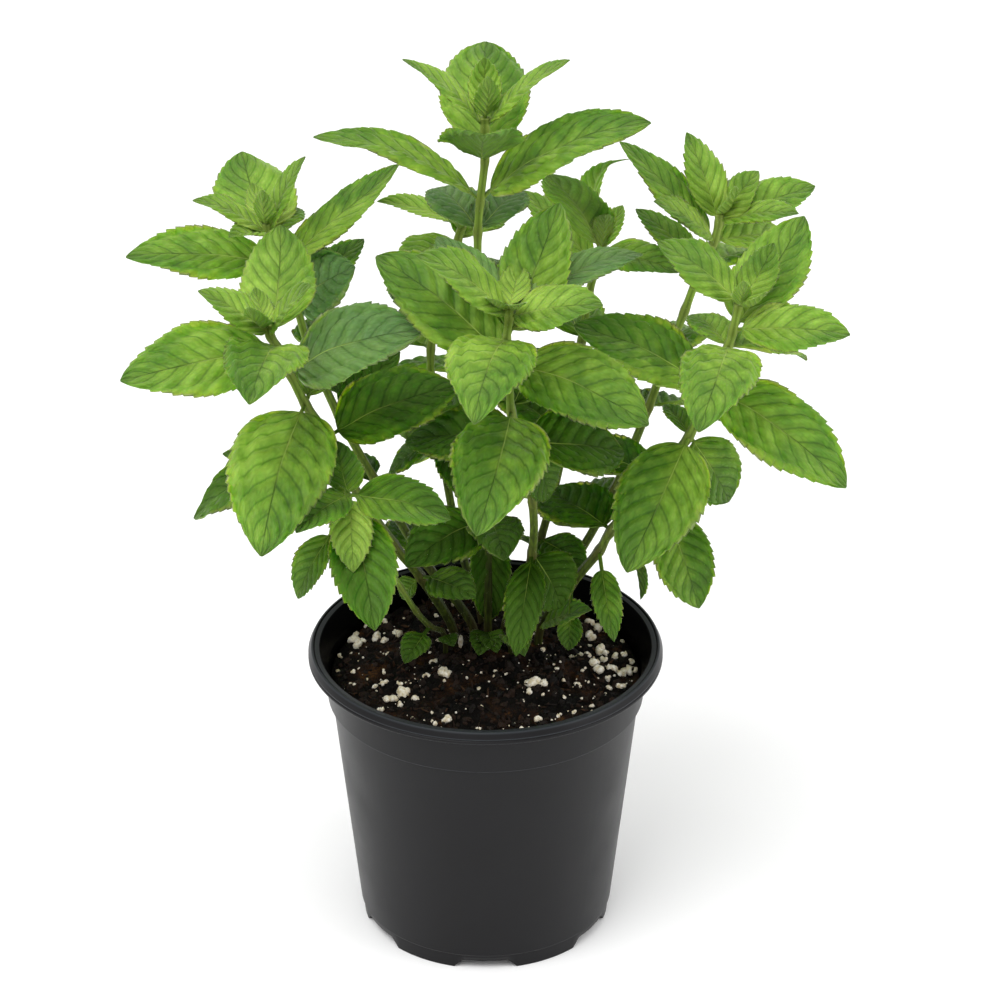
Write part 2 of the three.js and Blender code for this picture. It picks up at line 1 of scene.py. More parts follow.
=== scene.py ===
import bpy
import numpy as np
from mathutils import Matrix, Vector


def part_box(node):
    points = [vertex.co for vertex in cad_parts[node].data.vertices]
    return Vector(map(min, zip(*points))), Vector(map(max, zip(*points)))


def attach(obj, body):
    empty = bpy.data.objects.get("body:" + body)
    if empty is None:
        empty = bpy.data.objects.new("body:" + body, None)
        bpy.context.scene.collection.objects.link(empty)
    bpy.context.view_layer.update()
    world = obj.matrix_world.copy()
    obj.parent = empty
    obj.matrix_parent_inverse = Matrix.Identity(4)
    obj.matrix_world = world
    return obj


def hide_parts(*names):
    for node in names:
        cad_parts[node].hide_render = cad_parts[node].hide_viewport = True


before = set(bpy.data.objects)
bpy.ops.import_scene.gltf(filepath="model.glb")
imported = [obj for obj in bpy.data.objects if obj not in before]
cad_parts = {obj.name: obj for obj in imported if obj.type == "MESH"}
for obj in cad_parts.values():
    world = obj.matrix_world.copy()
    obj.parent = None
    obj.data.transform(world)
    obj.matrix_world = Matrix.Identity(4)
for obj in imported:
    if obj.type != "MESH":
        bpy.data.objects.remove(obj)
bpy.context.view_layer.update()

MM = 0.001

# The pot: its height and its rim's radius are read from the model
POT_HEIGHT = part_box("pot")[1].z / MM
RIM_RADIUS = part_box("pot")[1].x / MM
RIM_WIDTH = 5.2
RIM_THICKNESS = 6
RIM_BEVEL = 1.5
RIM_SHOULDER = 3
WALL = 1.5
COLLAR_RADIUS = 69.1
COLLAR_HEIGHT = 24
STEP = 1.9
BAND_RADIUS = 55.8
BAND_HEIGHT = 7
FOOT_RADIUS = 54.4
FOOT_COUNT = 6
NOTCH_HEIGHT = 4
NOTCH_TOP = 20
FLOOR_HEIGHT = 6.2
FLOOR_THICKNESS = 1.9
DRAIN_RADIUS = 5
DRAIN_CIRCLE = 36
EDGE_ROUNDING = 0.4
POT_SIDES = 180
# Heights of the painted highlight lines on the pot's edges: the rim's shoulder and lower edge, and
# the step
PAINTED_HIGHLIGHT_LINES = [
    POT_HEIGHT - RIM_SHOULDER,
    POT_HEIGHT - RIM_THICKNESS + 0.6,
    POT_HEIGHT - COLLAR_HEIGHT,
]
HIGHLIGHT_LINE_WIDTH = 0.6
RIM_TOP_HIGHLIGHT = (0.9, 0.4)  # how far under the rim's top the painted highlight on its flat top begins, and where it is full

# The soil
SOIL_LEVEL = 119
SOIL_DOME = 6
SOIL_BUMP = 1
CRUMBLE = [(9, 1.3), (4.1, 1.1), (2.1, 0.8), (1.1, 0.5)]  # grain sizes, and how high each rises
GAP = 0.3
SOIL_RINGS = 110
SOIL_SIDES = 280
CRUMB_COUNT = 1500
CRUMB_SIZE = 0.9
FIBRE_COUNT = 260
FIBRE_HALF_SIZES = [(1.5, 4), (0.3, 0.7), (0.2, 0.45)]  # half the length, width and thickness
SPECK_COUNT = 330
SPECK_SIZE = 0.38
KNOBS = 4  # of which each larger grain of perlite is grown together
KNOB_SIZE = 0.85  # of half the grain's size
KNOB_SPREAD = 0.65

# The larger grains of perlite as [x, y, half their size]
PERLITE = [
    [-61, 28, 2.4], [-57, 23, 1.8], [-54, 24, 1.0], [-49, 28, 2.3], [-45, 25, 1.6],
    [-40, 29, 1.9], [-64, 14, 1.1], [-65, 1, 1.0], [-59, -11, 0.8], [-57, -14, 0.8],
    [-59, 16, 0.7], [-43, 8, 0.8], [-44, -5, 0.9], [-60, 33, 1.5], [-53, 38, 1.1], [-45, 41, 1.3],
    [-58, -4, 0.9], [-34, -4, 0.8], [-18, -11, 2.4], [-23, 3, 1.8], [-26, -15, 1.3],
    [-35, -25, 2.4], [-40, -27, 2.1], [-43, -29, 1.8], [-44, -17, 1.3], [-37, -19, 1.1],
    [-30, -30, 1.5], [-37, -31, 1.3], [-45, -35, 1.5], [-48, -17, 1.1], [-17, -48, 1.9],
    [-31, -41, 0.7], [-23, -41, 0.7], [-3, -24, 0.9], [4, -8, 0.9], [9, -9, 0.7], [19, -21, 2.1],
    [22, -20, 1.9], [25, -21, 1.4], [19, -26, 1.3], [23, -45, 1.5], [31, -42, 0.9],
    [38, -39, 1.0], [46, -33, 1.1], [40, -16, 1.4], [49, -5, 2.0], [47, 1, 2.4], [51, 13, 2.0],
    [53, 10, 1.5], [41, 8, 1.6], [45, 6, 1.5], [52, 5, 1.4], [57, 10, 1.5], [61, 9, 1.5],
    [55, -3, 2.0], [53, -8, 1.5], [57, -1, 1.3], [62, 1, 2.1], [59, -2, 1.8], [64, 6, 1.1],
    [65, 2, 1.6], [54, -14, 1.3], [57, -11, 1.2], [59, -17, 1.7], [46, 37, 2.0], [49, 34, 2.1],
    [46, 27, 2.0], [61, 27, 1.0], [39, 10, 0.9], [46, 21, 0.8], [34, -13, 0.8], [31, -8, 0.9],
    [42, -6, 0.9], [34, -30, 0.8], [25, -27, 0.7], [25, 9, 1.0], [21, 25, 0.9], [8, 52, 1.6],
    [-14, 56, 1.8], [-30, 50, 1.3], [20, 58, 1.4], [33, 50, 1.7], [-22, 46, 1.0], [2, 44, 1.1],
]
CHIP = [-11, 11, 3.6]  # a white sliver that stands on end, with half its height
CHIP_HALF_SIZE = [1.1, 0.8, 1.3]
CHIP_STRETCH = [1, 1, 2.6]

# The plant
STEM_FOOT = 1.9
STEM_TIP = 1.6
STEM_STEPS = 12  # rings from one joint to the next
STEM_SIDES = 24
ROOT_DEPTH = 26
THINNER = {"low_left": 0.6}  # a side shoot, and its thickness next to the others
NODE_SWELLING = 0.22
NODE_REACH = 2.6  # how far along the stem the swelling at a joint reaches
BROWN_REACH = 5  # and the browner skin
STALK_WIDTH = 1.8
STALK_THICKNESS = 1.3
BLADE_THICKNESS = 0.4
WIDEST = 0.4
FULLNESS = 0.52
RIPPLE = 0.1
FOLD = 0.12
YOUNG_FOLD = 0.35
YOUNG_WIDTH = 16
GOLDEN_ANGLE = 2.4
BROAD = 22  # width from which a blade has more points across it
COLUMNS = (14, 22)  # how many narrow and broad blades have
CROWN = 0.09  # rise of each half of a blade between rib and margin, of half its width
FEWEST_TEETH = 6
TOOTH_PITCH = 7  # length of blade for each further tooth
TOOTH_POINT = 0.8  # place of a tooth's point between its notches
LONG = 34  # length from which a blade's teeth have more points
TOOTH_LENGTH = 0.95  # of the longest teeth
TOOTH_SHARE = 0.24  # of the distance between teeth, for the teeth of small leaves
TOOTH_LEAN = 0.22  # how far a tooth points forward, of the distance between teeth
RIB_GROOVE = 0.3  # depth of the rib's groove above
RIB_RISE = 0.8  # height of the rib below, at its base
SWAY = (0.03, 16)  # slow bends of a blade: their height, of its width, and their size
QUILTING = 0.036  # height of the swellings between the side veins, of the blade's width
BOW = 0.02  # sideways curve of the rib, of the leaf's length
FEWEST_VEINS = 5
VEIN_PITCH = 25  # length of blade for each further side vein
VEIN_LEAN = (0.26, 0.08)  # how far a side vein runs forward, as a straight and a cubed part
YOUNGEST = 0.78  # place on the scale of colours of the leaves at a stem's top
OLDEST = 0.18  # and of those at its foot
BUD_BRIGHTER = 0.12  # how much further up the narrow leaves of the buds are
FRESHER = 0.3  # how much further up the leaves in FRESH are
OLD_AND_SHADED_DROP = 0.28  # how much further down the leaves listed as dark are: partly because they are old, partly painted shade deep in the plant
DARKER = {"low_left": 0.2}  # painted shade: how much further down the scale all leaves of a stem in the shade are
SIDE_SHIFT = 0.4  # of the distance between veins, so that the two sides don't mirror
HALF_LIGHTING = 0.14  # most that the two halves of a leaf differ from their middle on that scale: painted light on one half, painted shade on the other
CHANCE = 0.05  # spread of single leaves on it
MARGIN_HAIRS = 90
FACE_HAIRS = 20
STEM_HAIRS = 400
HAIR_LENGTHS = (0.3, 0.7)
HAIR_WIDTH = 0.05

# The photograph's view and its light in metres, and the floor's reach
CAMERA_PLACE = (0.0063, -1.72973, 1.13269)
CAMERA_TILT = 61.785  # degrees up from straight down
LENS = 164.736
FLOOR_REACH = 4
ROOM_LIGHT = 0.92
KEY_LIGHT = ((-0.6, -0.8, 1.9), 1.6, 29)  # place, width and power
SIDE_LIGHT = ((1.5, -0.5, 0.9), 1.0, 7)
LIT_PLACE = (0, 0, 0.2)

# Each leafy stem: its joints [x, y, z] from the soil to the top, and its leaves as
# [joint, x, y, z of the tip, width, lean, arch, stalk, fold]. Lean turns the face of the
# blade to the front, arch is the rise of the blade over its chord, stalk the part of the
# length without a blade and fold the rise of the margin; the last four may be left out.
LEAN = 0.2
ARCH = 0.07
STALK = 0.08
SHOOTS = {
  "top": {
    "joints": [
      [1, 14, 131], [1, 10, 190], [-1, 13, 246], [-2, 16, 292], [-3, 17, 305], [-3, 18, 323],
      [-2, 18, 337], [0, 18, 356], [0, 18, 370], [0, 18, 375],
    ],
    "leaves": [
      [9, 0, 26, 399, 14, 0.2, -0.1],
      [9, 1, 10, 397, 11, 0.1, -0.1],
      [8, -34, 16, 402, 20, 0.05, 0.06],
      [8, 35, 16, 402, 20, 0.05, 0.06],
      [7, 0, -34, 391, 36, 0, -0.02, 0.08, 0.32],
      [7, 0, 88, 380, 38, 0.2, 0.06],
      [6, -71, 5, 372, 30, 0.05, 0.1],
      [6, 69, 8, 377, 34, 0.3, 0.1],
      [5, -22, 62, 323, 24],
      [5, 15, 58, 324, 22],
      [3, 8, 78, 281, 28, -0.3],
      [3, 32, 52, 289, 26, 0],
      [2, -34, 47, 210, 32],
      [2, 38, 47, 233, 32, 0],
      [1, -34, -22, 184, 30, 0.5],
      [1, 8, -40, 197, 24, 0.3],
      [1, 1, 20, 133, 18, 0.9],
      [0, -3, -4, 130, 13, 0.5, 0.12, 0.15],
      [0, 5, -4, 131, 12, 0.5, 0.12, 0.15],
    ],
  },
  "front": {
    "joints": [
      [12, 7, 132], [20, -12, 185], [20, -23, 217], [16, -34, 250], [11, -39, 267],
      [10, -47, 293], [9, -49, 305], [10, -52, 317], [10, -53, 322],
    ],
    "leaves": [
      [8, 14, -29, 331, 14, 0.2, -0.1],
      [8, 1, -68, 333, 9, 0, -0.05],
      [8, 15, -69, 331, 8, 0, -0.05],
      [7, -27, -65, 351, 26, 0.4],
      [7, 48, -68, 330, 26, 0.4],
      [7, 66, 0, 321, 19, 0.3, 0.1],
      [7, -20, -5, 331, 20, 0.35, 0.06],
      [6, 31, -23, 355, 32, 0.3, -0.04],
      [6, -4, -125, 306, 36, 0.5, 0.1],
      [5, -45, -23, 331, 38, 0.5, 0.06],
      [5, 67, -75, 279, 38, 0.5, 0.1],
      [4, -3, -114, 249, 40, 0.5, 0.08],
      [4, 28, 31, 261, 34, 0],
      [3, 59, -10, 233, 34, 0.6],
      [3, -34, -8, 237, 30, 0.5],
      [1, 13, -43, 152, 17, 0.6, 0.1, 0.1],
      [1, 33, -10, 157, 28, 0.6],
      [3, 27, -14, 213, 20, 0.9],
      [0, 17, -17, 137, 14, 0.5, 0.15, 0.15],
    ],
  },
  "left": {
    "joints": [
      [-14, 15, 131], [-28, -2, 168], [-39, -10, 188], [-57, -18, 223], [-66, -23, 247],
      [-75, -26, 264], [-81, -26, 278], [-86, -26, 290], [-89, -26, 296], [-90, -26, 301],
    ],
    "leaves": [
      [9, -96, -5, 308, 10, 0.2, -0.1],
      [9, -96, -49, 320, 12, 0.1, -0.1],
      [8, -118, -31, 319, 18, 0.4],
      [8, -71, -38, 325, 18, 0.35],
      [8, -87, 38, 317, 32, 0.3, -0.04],
      [7, -94, -99, 301, 34, 0.5, 0.1],
      [7, -150, -49, 287, 36, 0.6, 0.05],
      [6, -25, -44, 307, 38, 0.6, 0.1],
      [5, -91, -100, 232, 44, 0.5, 0.08],
      [5, -62, 30, 277, 24],
      [4, -11, -5, 262, 38, 0.4],
      [4, -125, -3, 197, 34, 0.3],
      [1, -4, -26, 171, 19, 0.5, 0.08, 0.2],
      [1, -36, -4, 158, 12, 0.3, 0.08, 0.2],
    ],
  },
  "left_back": {
    "joints": [
      [-6, 24, 129], [-27, 29, 159], [-48, 39, 193], [-64, 47, 221], [-76, 52, 250],
      [-82, 55, 271], [-89, 56, 289], [-93, 57, 303], [-94, 58, 308],
    ],
    "leaves": [
      [8, -101, 81, 317, 11, 0.2, -0.1],
      [8, -95, 47, 329, 10, 0.2, -0.1],
      [7, -107, 113, 318, 36, 0.2, -0.04],
      [7, -125, 49, 323, 18, 0.15],
      [7, -77, 60, 339, 16, 0.1],
      [7, -81, 87, 302, 16, 0.3],
      [7, -109, 36, 312, 14, 0.3],
      [6, -154, 44, 299, 30, 0.4, 0.08],
      [6, -37, 68, 332, 22, 0.25, 0],
      [5, -53, 86, 288, 18, 0.2],
      [5, -56, 45, 294, 34, 0.7],
      [5, -113, 91, 256, 26, 0],
      [4, -61, 109, 233, 30, -0.3],
      [4, -63, 12, 250, 20, 0.2],
      [3, -37, 50, 251, 24, 0.5],
      [2, -117, 70, 190, 28, 0.3],
      [2, -84, 102, 166, 30, -0.2],
      [1, -38, 81, 151, 24, -0.2],
    ],
  },
  "right": {
    "joints": [
      [24, 16, 132], [37, 0, 163], [49, -4, 182], [54, -6, 193], [72, -13, 223], [86, -18, 245],
      [94, -21, 269], [101, -23, 289], [103, -23, 297], [105, -23, 309],
    ],
    "leaves": [
      [9, 120, -8, 330, 17, 0.3, -0.1],
      [9, 106, -34, 325, 8, 0.1, -0.1],
      [9, 115, -39, 322, 9, 0.1, -0.1],
      [9, 71, -18, 335, 24, 0.4],
      [8, 151, -34, 300, 27, 0.4],
      [8, 134, 16, 331, 32, 0.2, -0.04],
      [7, 86, -96, 287, 33, 0.5, 0.1],
      [7, 136, 5, 269, 24, 0],
      [7, 87, 10, 288, 18, 0],
      [6, 150, -57, 241, 36, 0.5, 0.12],
      [6, 37, -8, 292, 36, 0.3],
      [5, 59, -65, 205, 38, 0.5, 0.08],
      [5, 104, -10, 209, 27, 1],
      [5, 76, 5, 248, 10, 0.2],
      [4, 91, -37, 172, 26, 0.5, 0.08, 0.3],
      [4, 30, 42, 205, 28, 0.3],
      [3, 26, 40, 187, 32, 0.3],
      [3, 68, 17, 146, 10, 0.3, 0.08, 0.3],
      [2, 55, -39, 157, 13, 0.5, 0.08, 0.25],
      [0, 46, -17, 160, 14, 0.8, 0.08, 0.2],
      [1, 36, -12, 137, 11, 0.8, 0.07, 0.45],
    ],
  },
  "right_back": {
    "joints": [
      [18, 26, 129], [39, 29, 159], [56, 39, 188], [71, 44, 227], [78, 47, 249], [86, 49, 271],
      [92, 52, 288], [98, 53, 302], [100, 53, 311], [100, 53, 315],
    ],
    "leaves": [
      [9, 100, 75, 321, 11, 0.2, -0.1],
      [9, 106, 44, 332, 10, 0.2, -0.1],
      [8, 86, 65, 348, 18, 0.3],
      [8, 117, 60, 332, 18, 0.3],
      [8, 142, 68, 321, 26, 0.3],
      [8, 133, 36, 323, 16, 0.3],
      [7, 57, 57, 347, 20, 0.4, 0.06],
      [7, 71, 31, 331, 18, 0.5],
      [7, 132, 78, 292, 24, 0.4],
      [6, 65, 78, 306, 16, 0.2],
      [6, 126, 101, 273, 28, -0.2],
      [4, 95, 107, 234, 30, -0.3],
      [4, 56, 95, 229, 28, 0],
      [3, 105, 91, 196, 30, -0.2],
      [3, 46, 87, 201, 28, 0],
      [2, 33, 78, 163, 28, -0.2],
      [2, 78, 74, 155, 28, 0],
    ],
  },
  "mid_back_right": {
    "joints": [
      [9, 31, 127], [24, 42, 162], [35, 57, 204], [42, 68, 247], [45, 71, 268], [48, 74, 279],
      [50, 75, 287], [51, 75, 291],
    ],
    "leaves": [
      [7, 49, 95, 304, 9, 0.2, -0.1],
      [6, 26, 50, 335, 28, -0.5],
      [7, 62, 75, 331, 12, -0.35, 0.4],
      [6, 60, 95, 300, 10],
      [6, 83, 52, 288, 22, 0.3],
      [5, 15, 99, 305, 18, 0.2],
      [6, 51, 52, 315, 10, -0.3],
      [3, 33, 127, 238, 30, -0.3],
      [2, 70, 114, 179, 32, -0.3],
      [2, 6, 109, 197, 30, -0.3],
      [1, 43, 8, 165, 20, 0.5],
    ],
  },
  "mid_back_left": {
    "joints": [
      [-2, 35, 128], [-12, 42, 162], [-20, 57, 204], [-24, 68, 243], [-15, 72, 272],
      [-12, 73, 293], [-10, 74, 300],
    ],
    "leaves": [
      [6, -47, 75, 311, 13, 0.3],
      [6, -12, 104, 298, 14, 0.2, -0.1],
      [6, -14, 57, 313, 10, 0.2, -0.1],
      [5, -37, 42, 295, 20, 0.3],
      [5, 6, 108, 290, 22, 0],
      [4, 6, 120, 257, 28, -0.3],
      [4, -41, 112, 246, 24, -0.2],
      [3, -54, 117, 226, 30, -0.2],
      [2, -43, 66, 182, 20, 0.3],
      [2, -6, 31, 186, 16, 0.3],
    ],
  },
  "low_left": {
    "joints": [
      [-18, 9, 132], [-24, 0, 142], [-30, -9, 155], [-36, -24, 175], [-46, -49, 209],
      [-55, -57, 231], [-56, -60, 239],
    ],
    "leaves": [
      [6, -54, -86, 217, 18, 0.5],
      [6, -62, -25, 246, 18, 0.3, -0.05],
      [6, -14, -70, 233, 26, 0.4],
      [6, -77, -91, 238, 20, 0.3],
      [6, -72, -52, 231, 9, 0.3],
      [5, -45, -101, 198, 28, 0.6],
      [1, -35, -20, 135, 13, 0.4, 0.1, 0.3],
      [5, -78, -64, 192, 15, 0.5, 0.15, 0.3],
      [0, -14, -1, 133, 9, 0.4, 0.08, 0.2],
    ],
  },
  "back": {
    "joints": [[2, 48, 128], [0, 68, 153], [-2, 86, 186], [0, 94, 217], [1, 96, 235], [1, 98, 241]],
    "leaves": [
      [5, -2, 107, 261, 14, -0.1, -0.1],
      [5, 6, 91, 260, 10, 0.1, -0.1],
      [4, -31, 114, 249, 24, -0.1],
      [4, 30, 107, 252, 26, -0.1],
      [3, -4, 126, 183, 32, -0.6],
      [3, -53, 109, 209, 32, -0.3],
      [3, 49, 125, 202, 30, -0.3],
      [2, -35, 118, 159, 30, -0.5],
      [2, 30, 113, 149, 28, -0.5],
      [1, -20, 87, 135, 20, -0.3],
      [1, 24, 77, 138, 18, -0.3],
    ],
  },
}

# The numbers of the leaves on each stem that are dull, dark and bright. The dark ones are old and
# stand deep in the plant's shade: their darkness is partly their own, partly painted shade.
GREY = {
    "top": [8, 9],
    "front": [5, 6],
    "left": [7],
    "left_back": [10],
}
OLD_AND_SHADED = {
    "top": [4, 11, 12, 13, 14, 16, 17, 18],
    "front": [12, 13, 14, 15, 16, 17],
    "left": [10, 11],
    "left_back": [12, 13, 14, 15, 16, 17],
    "right": [0, 3, 15, 16, 17],
    "right_back": [12, 14, 16],
    "mid_back_right": [9, 10],
    "mid_back_left": [8, 9],
    "low_left": [1, 2, 3, 4, 5, 7],
}
FRESH = {
    "mid_back_right": [2, 3, 5],
    "right_back": [8],
    "mid_back_left": [0],
    "low_left": [0],
}


# ---- working out surfaces ----


def noise(points, cell, seed):
    """Random values from -1 to 1 on a cubic lattice, smoothly blended between its corners."""
    place = points / cell + 500
    low = np.floor(place).astype(int)
    share = place - low
    share = share * share * (3 - 2 * share)
    lattice = np.random.default_rng(seed).uniform(-1, 1, (32, 32, 32))
    total = 0
    for corner in np.ndindex(2, 2, 2):
        x, y, z = np.moveaxis((low + corner) % 32, -1, 0)
        total = total + np.prod(np.where(corner, share, 1 - share), axis=-1) * lattice[x, y, z]
    return total


def unit(vectors):
    """Vectors of length 1 along the given ones."""
    return vectors / np.linalg.norm(vectors, axis=-1, keepdims=True)


def smoothstep(x):
    """Rises smoothly from 0 at 0 to 1 at 1."""
    x = np.clip(x, 0, 1)
    return x * x * (3 - 2 * x)


def skin(rings, **values):
    """A closed surface through rings of points, with a fan from the middle of each end ring.

    rings has the shape (rings, points, 3), with the points anticlockwise round the way that the
    rings go. values hold a number or a vector for each point, which the finish reads.
    """
    count, sides = rings.shape[:2]
    here = np.arange(count * sides).reshape(count, sides)
    beside = np.roll(here, -1, axis=1)
    quads = np.stack([here[:-1], beside[:-1], beside[1:], here[1:]], axis=-1).reshape(-1, 4)
    first, last = count * sides, count * sides + 1
    start = np.stack([beside[0], here[0], np.full(sides, first)], axis=-1)
    end = np.stack([here[-1], beside[-1], np.full(sides, last)], axis=-1)

    def with_middles(grid):
        flat = grid.reshape(count * sides, -1)
        return np.vstack([flat, grid[0].mean(axis=0), grid[-1].mean(axis=0)])

    return {
        "points": with_middles(rings),
        "quads": quads,
        "triangles": np.vstack([start, end]),
        "values": {name: with_middles(grid) for name, grid in values.items()},
    }


def joined(surfaces):
    """Several surfaces as one."""
    offsets = np.cumsum([0] + [len(s["points"]) for s in surfaces[:-1]])
    return {
        "points": np.vstack([s["points"] for s in surfaces]),
        "quads": np.vstack([s["quads"] + o for s, o in zip(surfaces, offsets)]),
        "triangles": np.vstack([s["triangles"] + o for s, o in zip(surfaces, offsets)]),
        "values": {
            name: np.vstack([s["values"][name] for s in surfaces]) for name in surfaces[0]["values"]
        },
    }


def add_piece(name, surface, material, stands_for=(), smooth=True):
    """Makes a surface in millimetres a piece that rides on the plant."""
    corners = np.concatenate([surface["quads"].ravel(), surface["triangles"].ravel()])
    quad_count, triangle_count = len(surface["quads"]), len(surface["triangles"])
    starts = np.concatenate(
        [4 * np.arange(quad_count), 4 * quad_count + 3 * np.arange(triangle_count)]
    )
    mesh = bpy.data.meshes.new(name)
    mesh.vertices.add(len(surface["points"]))
    mesh.vertices.foreach_set("co", (surface["points"] * MM).astype(np.float32).ravel())
    mesh.loops.add(len(corners))
    mesh.loops.foreach_set("vertex_index", corners.astype(np.int32))
    mesh.polygons.add(len(starts))
    mesh.polygons.foreach_set("loop_start", starts.astype(np.int32))
    mesh.polygons.foreach_set("use_smooth", np.full(len(starts), smooth))
    for value_name, value in surface["values"].items():
        kind, field = ("FLOAT_VECTOR", "vector") if value.shape[1] == 3 else ("FLOAT", "value")
        attribute = mesh.attributes.new(value_name, kind, "POINT")
        attribute.data.foreach_set(field, value.astype(np.float32).ravel())
    mesh.update(calc_edges=True)
    mesh.materials.append(material)
    piece = bpy.data.objects.new(name, mesh)
    bpy.context.scene.collection.objects.link(piece)
    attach(piece, "root")
    if stands_for:
        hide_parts(*stands_for)
    return piece


def lump():
    """A unit ball with few faces: rings of points at equal steps from pole to pole."""
    height = np.radians([-62, -22, 22, 62])[:, None]
    turn = np.linspace(0, 2 * np.pi, 7, endpoint=False)[None, :]
    around = np.cos(height) * np.cos(turn), np.cos(height) * np.sin(turn)
    return skin(np.stack([*around, np.sin(height) + 0 * turn], axis=-1))


def scattered(places, sizes, roughness, seed):
    """A lump at each place, turned at random, with its own three half-sizes and a rough surface."""
    rng = np.random.default_rng(seed)
    shape = lump()
    turns = np.linalg.qr(rng.normal(size=(len(places), 3, 3)))[0]
    turns[:, :, 0] *= np.linalg.det(turns)[:, None]
    ball = shape["points"][None] * np.ones((len(places), 1, 1))
    own_part = 9 * np.arange(len(places))[:, None, None]
    ball = ball * (1 + roughness * noise(ball + own_part, 0.7, seed)[..., None])
    points = np.einsum("nij,nkj->nki", turns, ball * sizes[:, None, :]) + places[:, None, :]
    offsets = len(shape["points"]) * np.arange(len(places))[:, None, None]
    shade = rng.uniform(0, 1, (len(places), 1, 1)) * np.ones((1, len(shape["points"]), 1))
    return {
        "points": points.reshape(-1, 3),
        "quads": (shape["quads"] + offsets).reshape(-1, 4),
        "triangles": (shape["triangles"] + offsets).reshape(-1, 3),
        "values": {"tone": shade.reshape(-1, 1)},
    }


def hairs(feet, directions, length, thickness):
    """Three-sided spikes on the given feet: three points round each foot and one at the end."""
    ahead = unit(directions)
    side = unit(np.cross(ahead, [0.31, 0.52, 0.8]))
    other = np.cross(ahead, side)
    turn = np.radians([0, 120, 240])[None, :, None]
    ring = side[:, None] * np.cos(turn) + other[:, None] * np.sin(turn)
    foot = feet[:, None] + thickness / 2 * ring
    end = (feet + ahead * np.reshape(length, (-1, 1)))[:, None]
    offsets = 4 * np.arange(len(feet))[:, None, None]
    faces = np.array([[0, 1, 3], [1, 2, 3], [2, 0, 3], [2, 1, 0]])
    return {
        "points": np.concatenate([foot, end], axis=1).reshape(-1, 3),
        "quads": np.zeros((0, 4), int),
        "triangles": (faces + offsets).reshape(-1, 3),
        "values": {},
    }


# ---- pot ----


def rounded(outline, reach, steps=5):
    """The outline with each corner rounded by a parabola that starts at most reach before it."""
    before, here, after = outline[:-2], outline[1:-1], outline[2:]

    def cut(towards):
        side = towards - here
        length = np.linalg.norm(side, axis=1, keepdims=True)
        return here + side / length * np.minimum(reach, 0.45 * length)

    s = np.linspace(0, 1, steps)[:, None, None]
    arcs = (1 - s) ** 2 * cut(before) + 2 * s * (1 - s) * here + s**2 * cut(after)
    return np.vstack([outline[:1], arcs.transpose(1, 0, 2).reshape(-1, 2), outline[-1:]])


def pot_outline():
    """Radius and height from under the floor, round the foot, up the outside and down the inside.

    The lip has a bead on its shoulder, and its flat top steps down towards the mouth.
    """
    mouth = RIM_RADIUS - RIM_WIDTH
    step = POT_HEIGHT - COLLAR_HEIGHT
    wall_top = COLLAR_RADIUS - STEP
    under_rim = POT_HEIGHT - RIM_THICKNESS
    shoulder = POT_HEIGHT - RIM_SHOULDER
    outline = [
        [1, FLOOR_HEIGHT - FLOOR_THICKNESS],
        [FOOT_RADIUS - WALL, FLOOR_HEIGHT - FLOOR_THICKNESS],
        [FOOT_RADIUS - WALL, 0],
        [FOOT_RADIUS, 0],
        [FOOT_RADIUS + 0.6, BAND_HEIGHT],
        [BAND_RADIUS, BAND_HEIGHT + 0.5],
        [wall_top, step - 0.5],
        [COLLAR_RADIUS, step],
        [COLLAR_RADIUS + 0.9, under_rim - 3],
        [RIM_RADIUS - RIM_BEVEL, under_rim],
        [RIM_RADIUS - 0.1, under_rim + 0.6 * RIM_BEVEL],
        [RIM_RADIUS - 0.1, shoulder - 1.1],
        [RIM_RADIUS - 0.7, shoulder - 0.6],
        [RIM_RADIUS, shoulder],
        [RIM_RADIUS - 0.7 * RIM_BEVEL, POT_HEIGHT - 0.8],
        [RIM_RADIUS - RIM_BEVEL, POT_HEIGHT],
        [RIM_RADIUS - RIM_BEVEL - 0.9, POT_HEIGHT],
        [RIM_RADIUS - RIM_BEVEL - 1.3, POT_HEIGHT - 0.4],
        [mouth, POT_HEIGHT - 0.7],
        [COLLAR_RADIUS + 0.9 - WALL, under_rim - 4],
        [COLLAR_RADIUS - WALL, step],
        [wall_top - WALL, step - 2],
        [BAND_RADIUS - 2 * WALL, FLOOR_HEIGHT],
        [1, FLOOR_HEIGHT],
    ]
    return rounded(np.array(outline, float), EDGE_ROUNDING)


def make_pot(material):
    """The pot's outline turned round its axis, with its lowest points lifted in the notches."""
    notch_middles = np.radians(360 / FOOT_COUNT * np.arange(FOOT_COUNT) - 90)
    corners = np.array([-1, -1, 1, 1]) * NOTCH_TOP / 2 + np.array([-1, 0, 0, 1]) * NOTCH_HEIGHT
    extra = (notch_middles[:, None] + corners / FOOT_RADIUS).ravel()
    plain = np.linspace(0, 2 * np.pi, POT_SIDES, endpoint=False)
    turn = np.unique(np.round(np.concatenate([plain, extra % (2 * np.pi)]), 4))
    away = np.abs((turn[:, None] - notch_middles + np.pi) % (2 * np.pi) - np.pi).min(axis=1)
    notch = np.clip(NOTCH_TOP / 2 + NOTCH_HEIGHT - away * FOOT_RADIUS, 0, NOTCH_HEIGHT)
    radius, height = pot_outline().T[:, :, None]
    floor = FLOOR_HEIGHT - FLOOR_THICKNESS
    lifted = np.where(height < floor, notch + height * (1 - notch / floor), height + 0 * notch)
    rings = np.stack([radius * np.cos(turn), radius * np.sin(turn), lifted], axis=-1)
    pot = add_piece("nursery_pot", skin(rings), material, ["pot"])
    drill_drains(pot)
    return pot


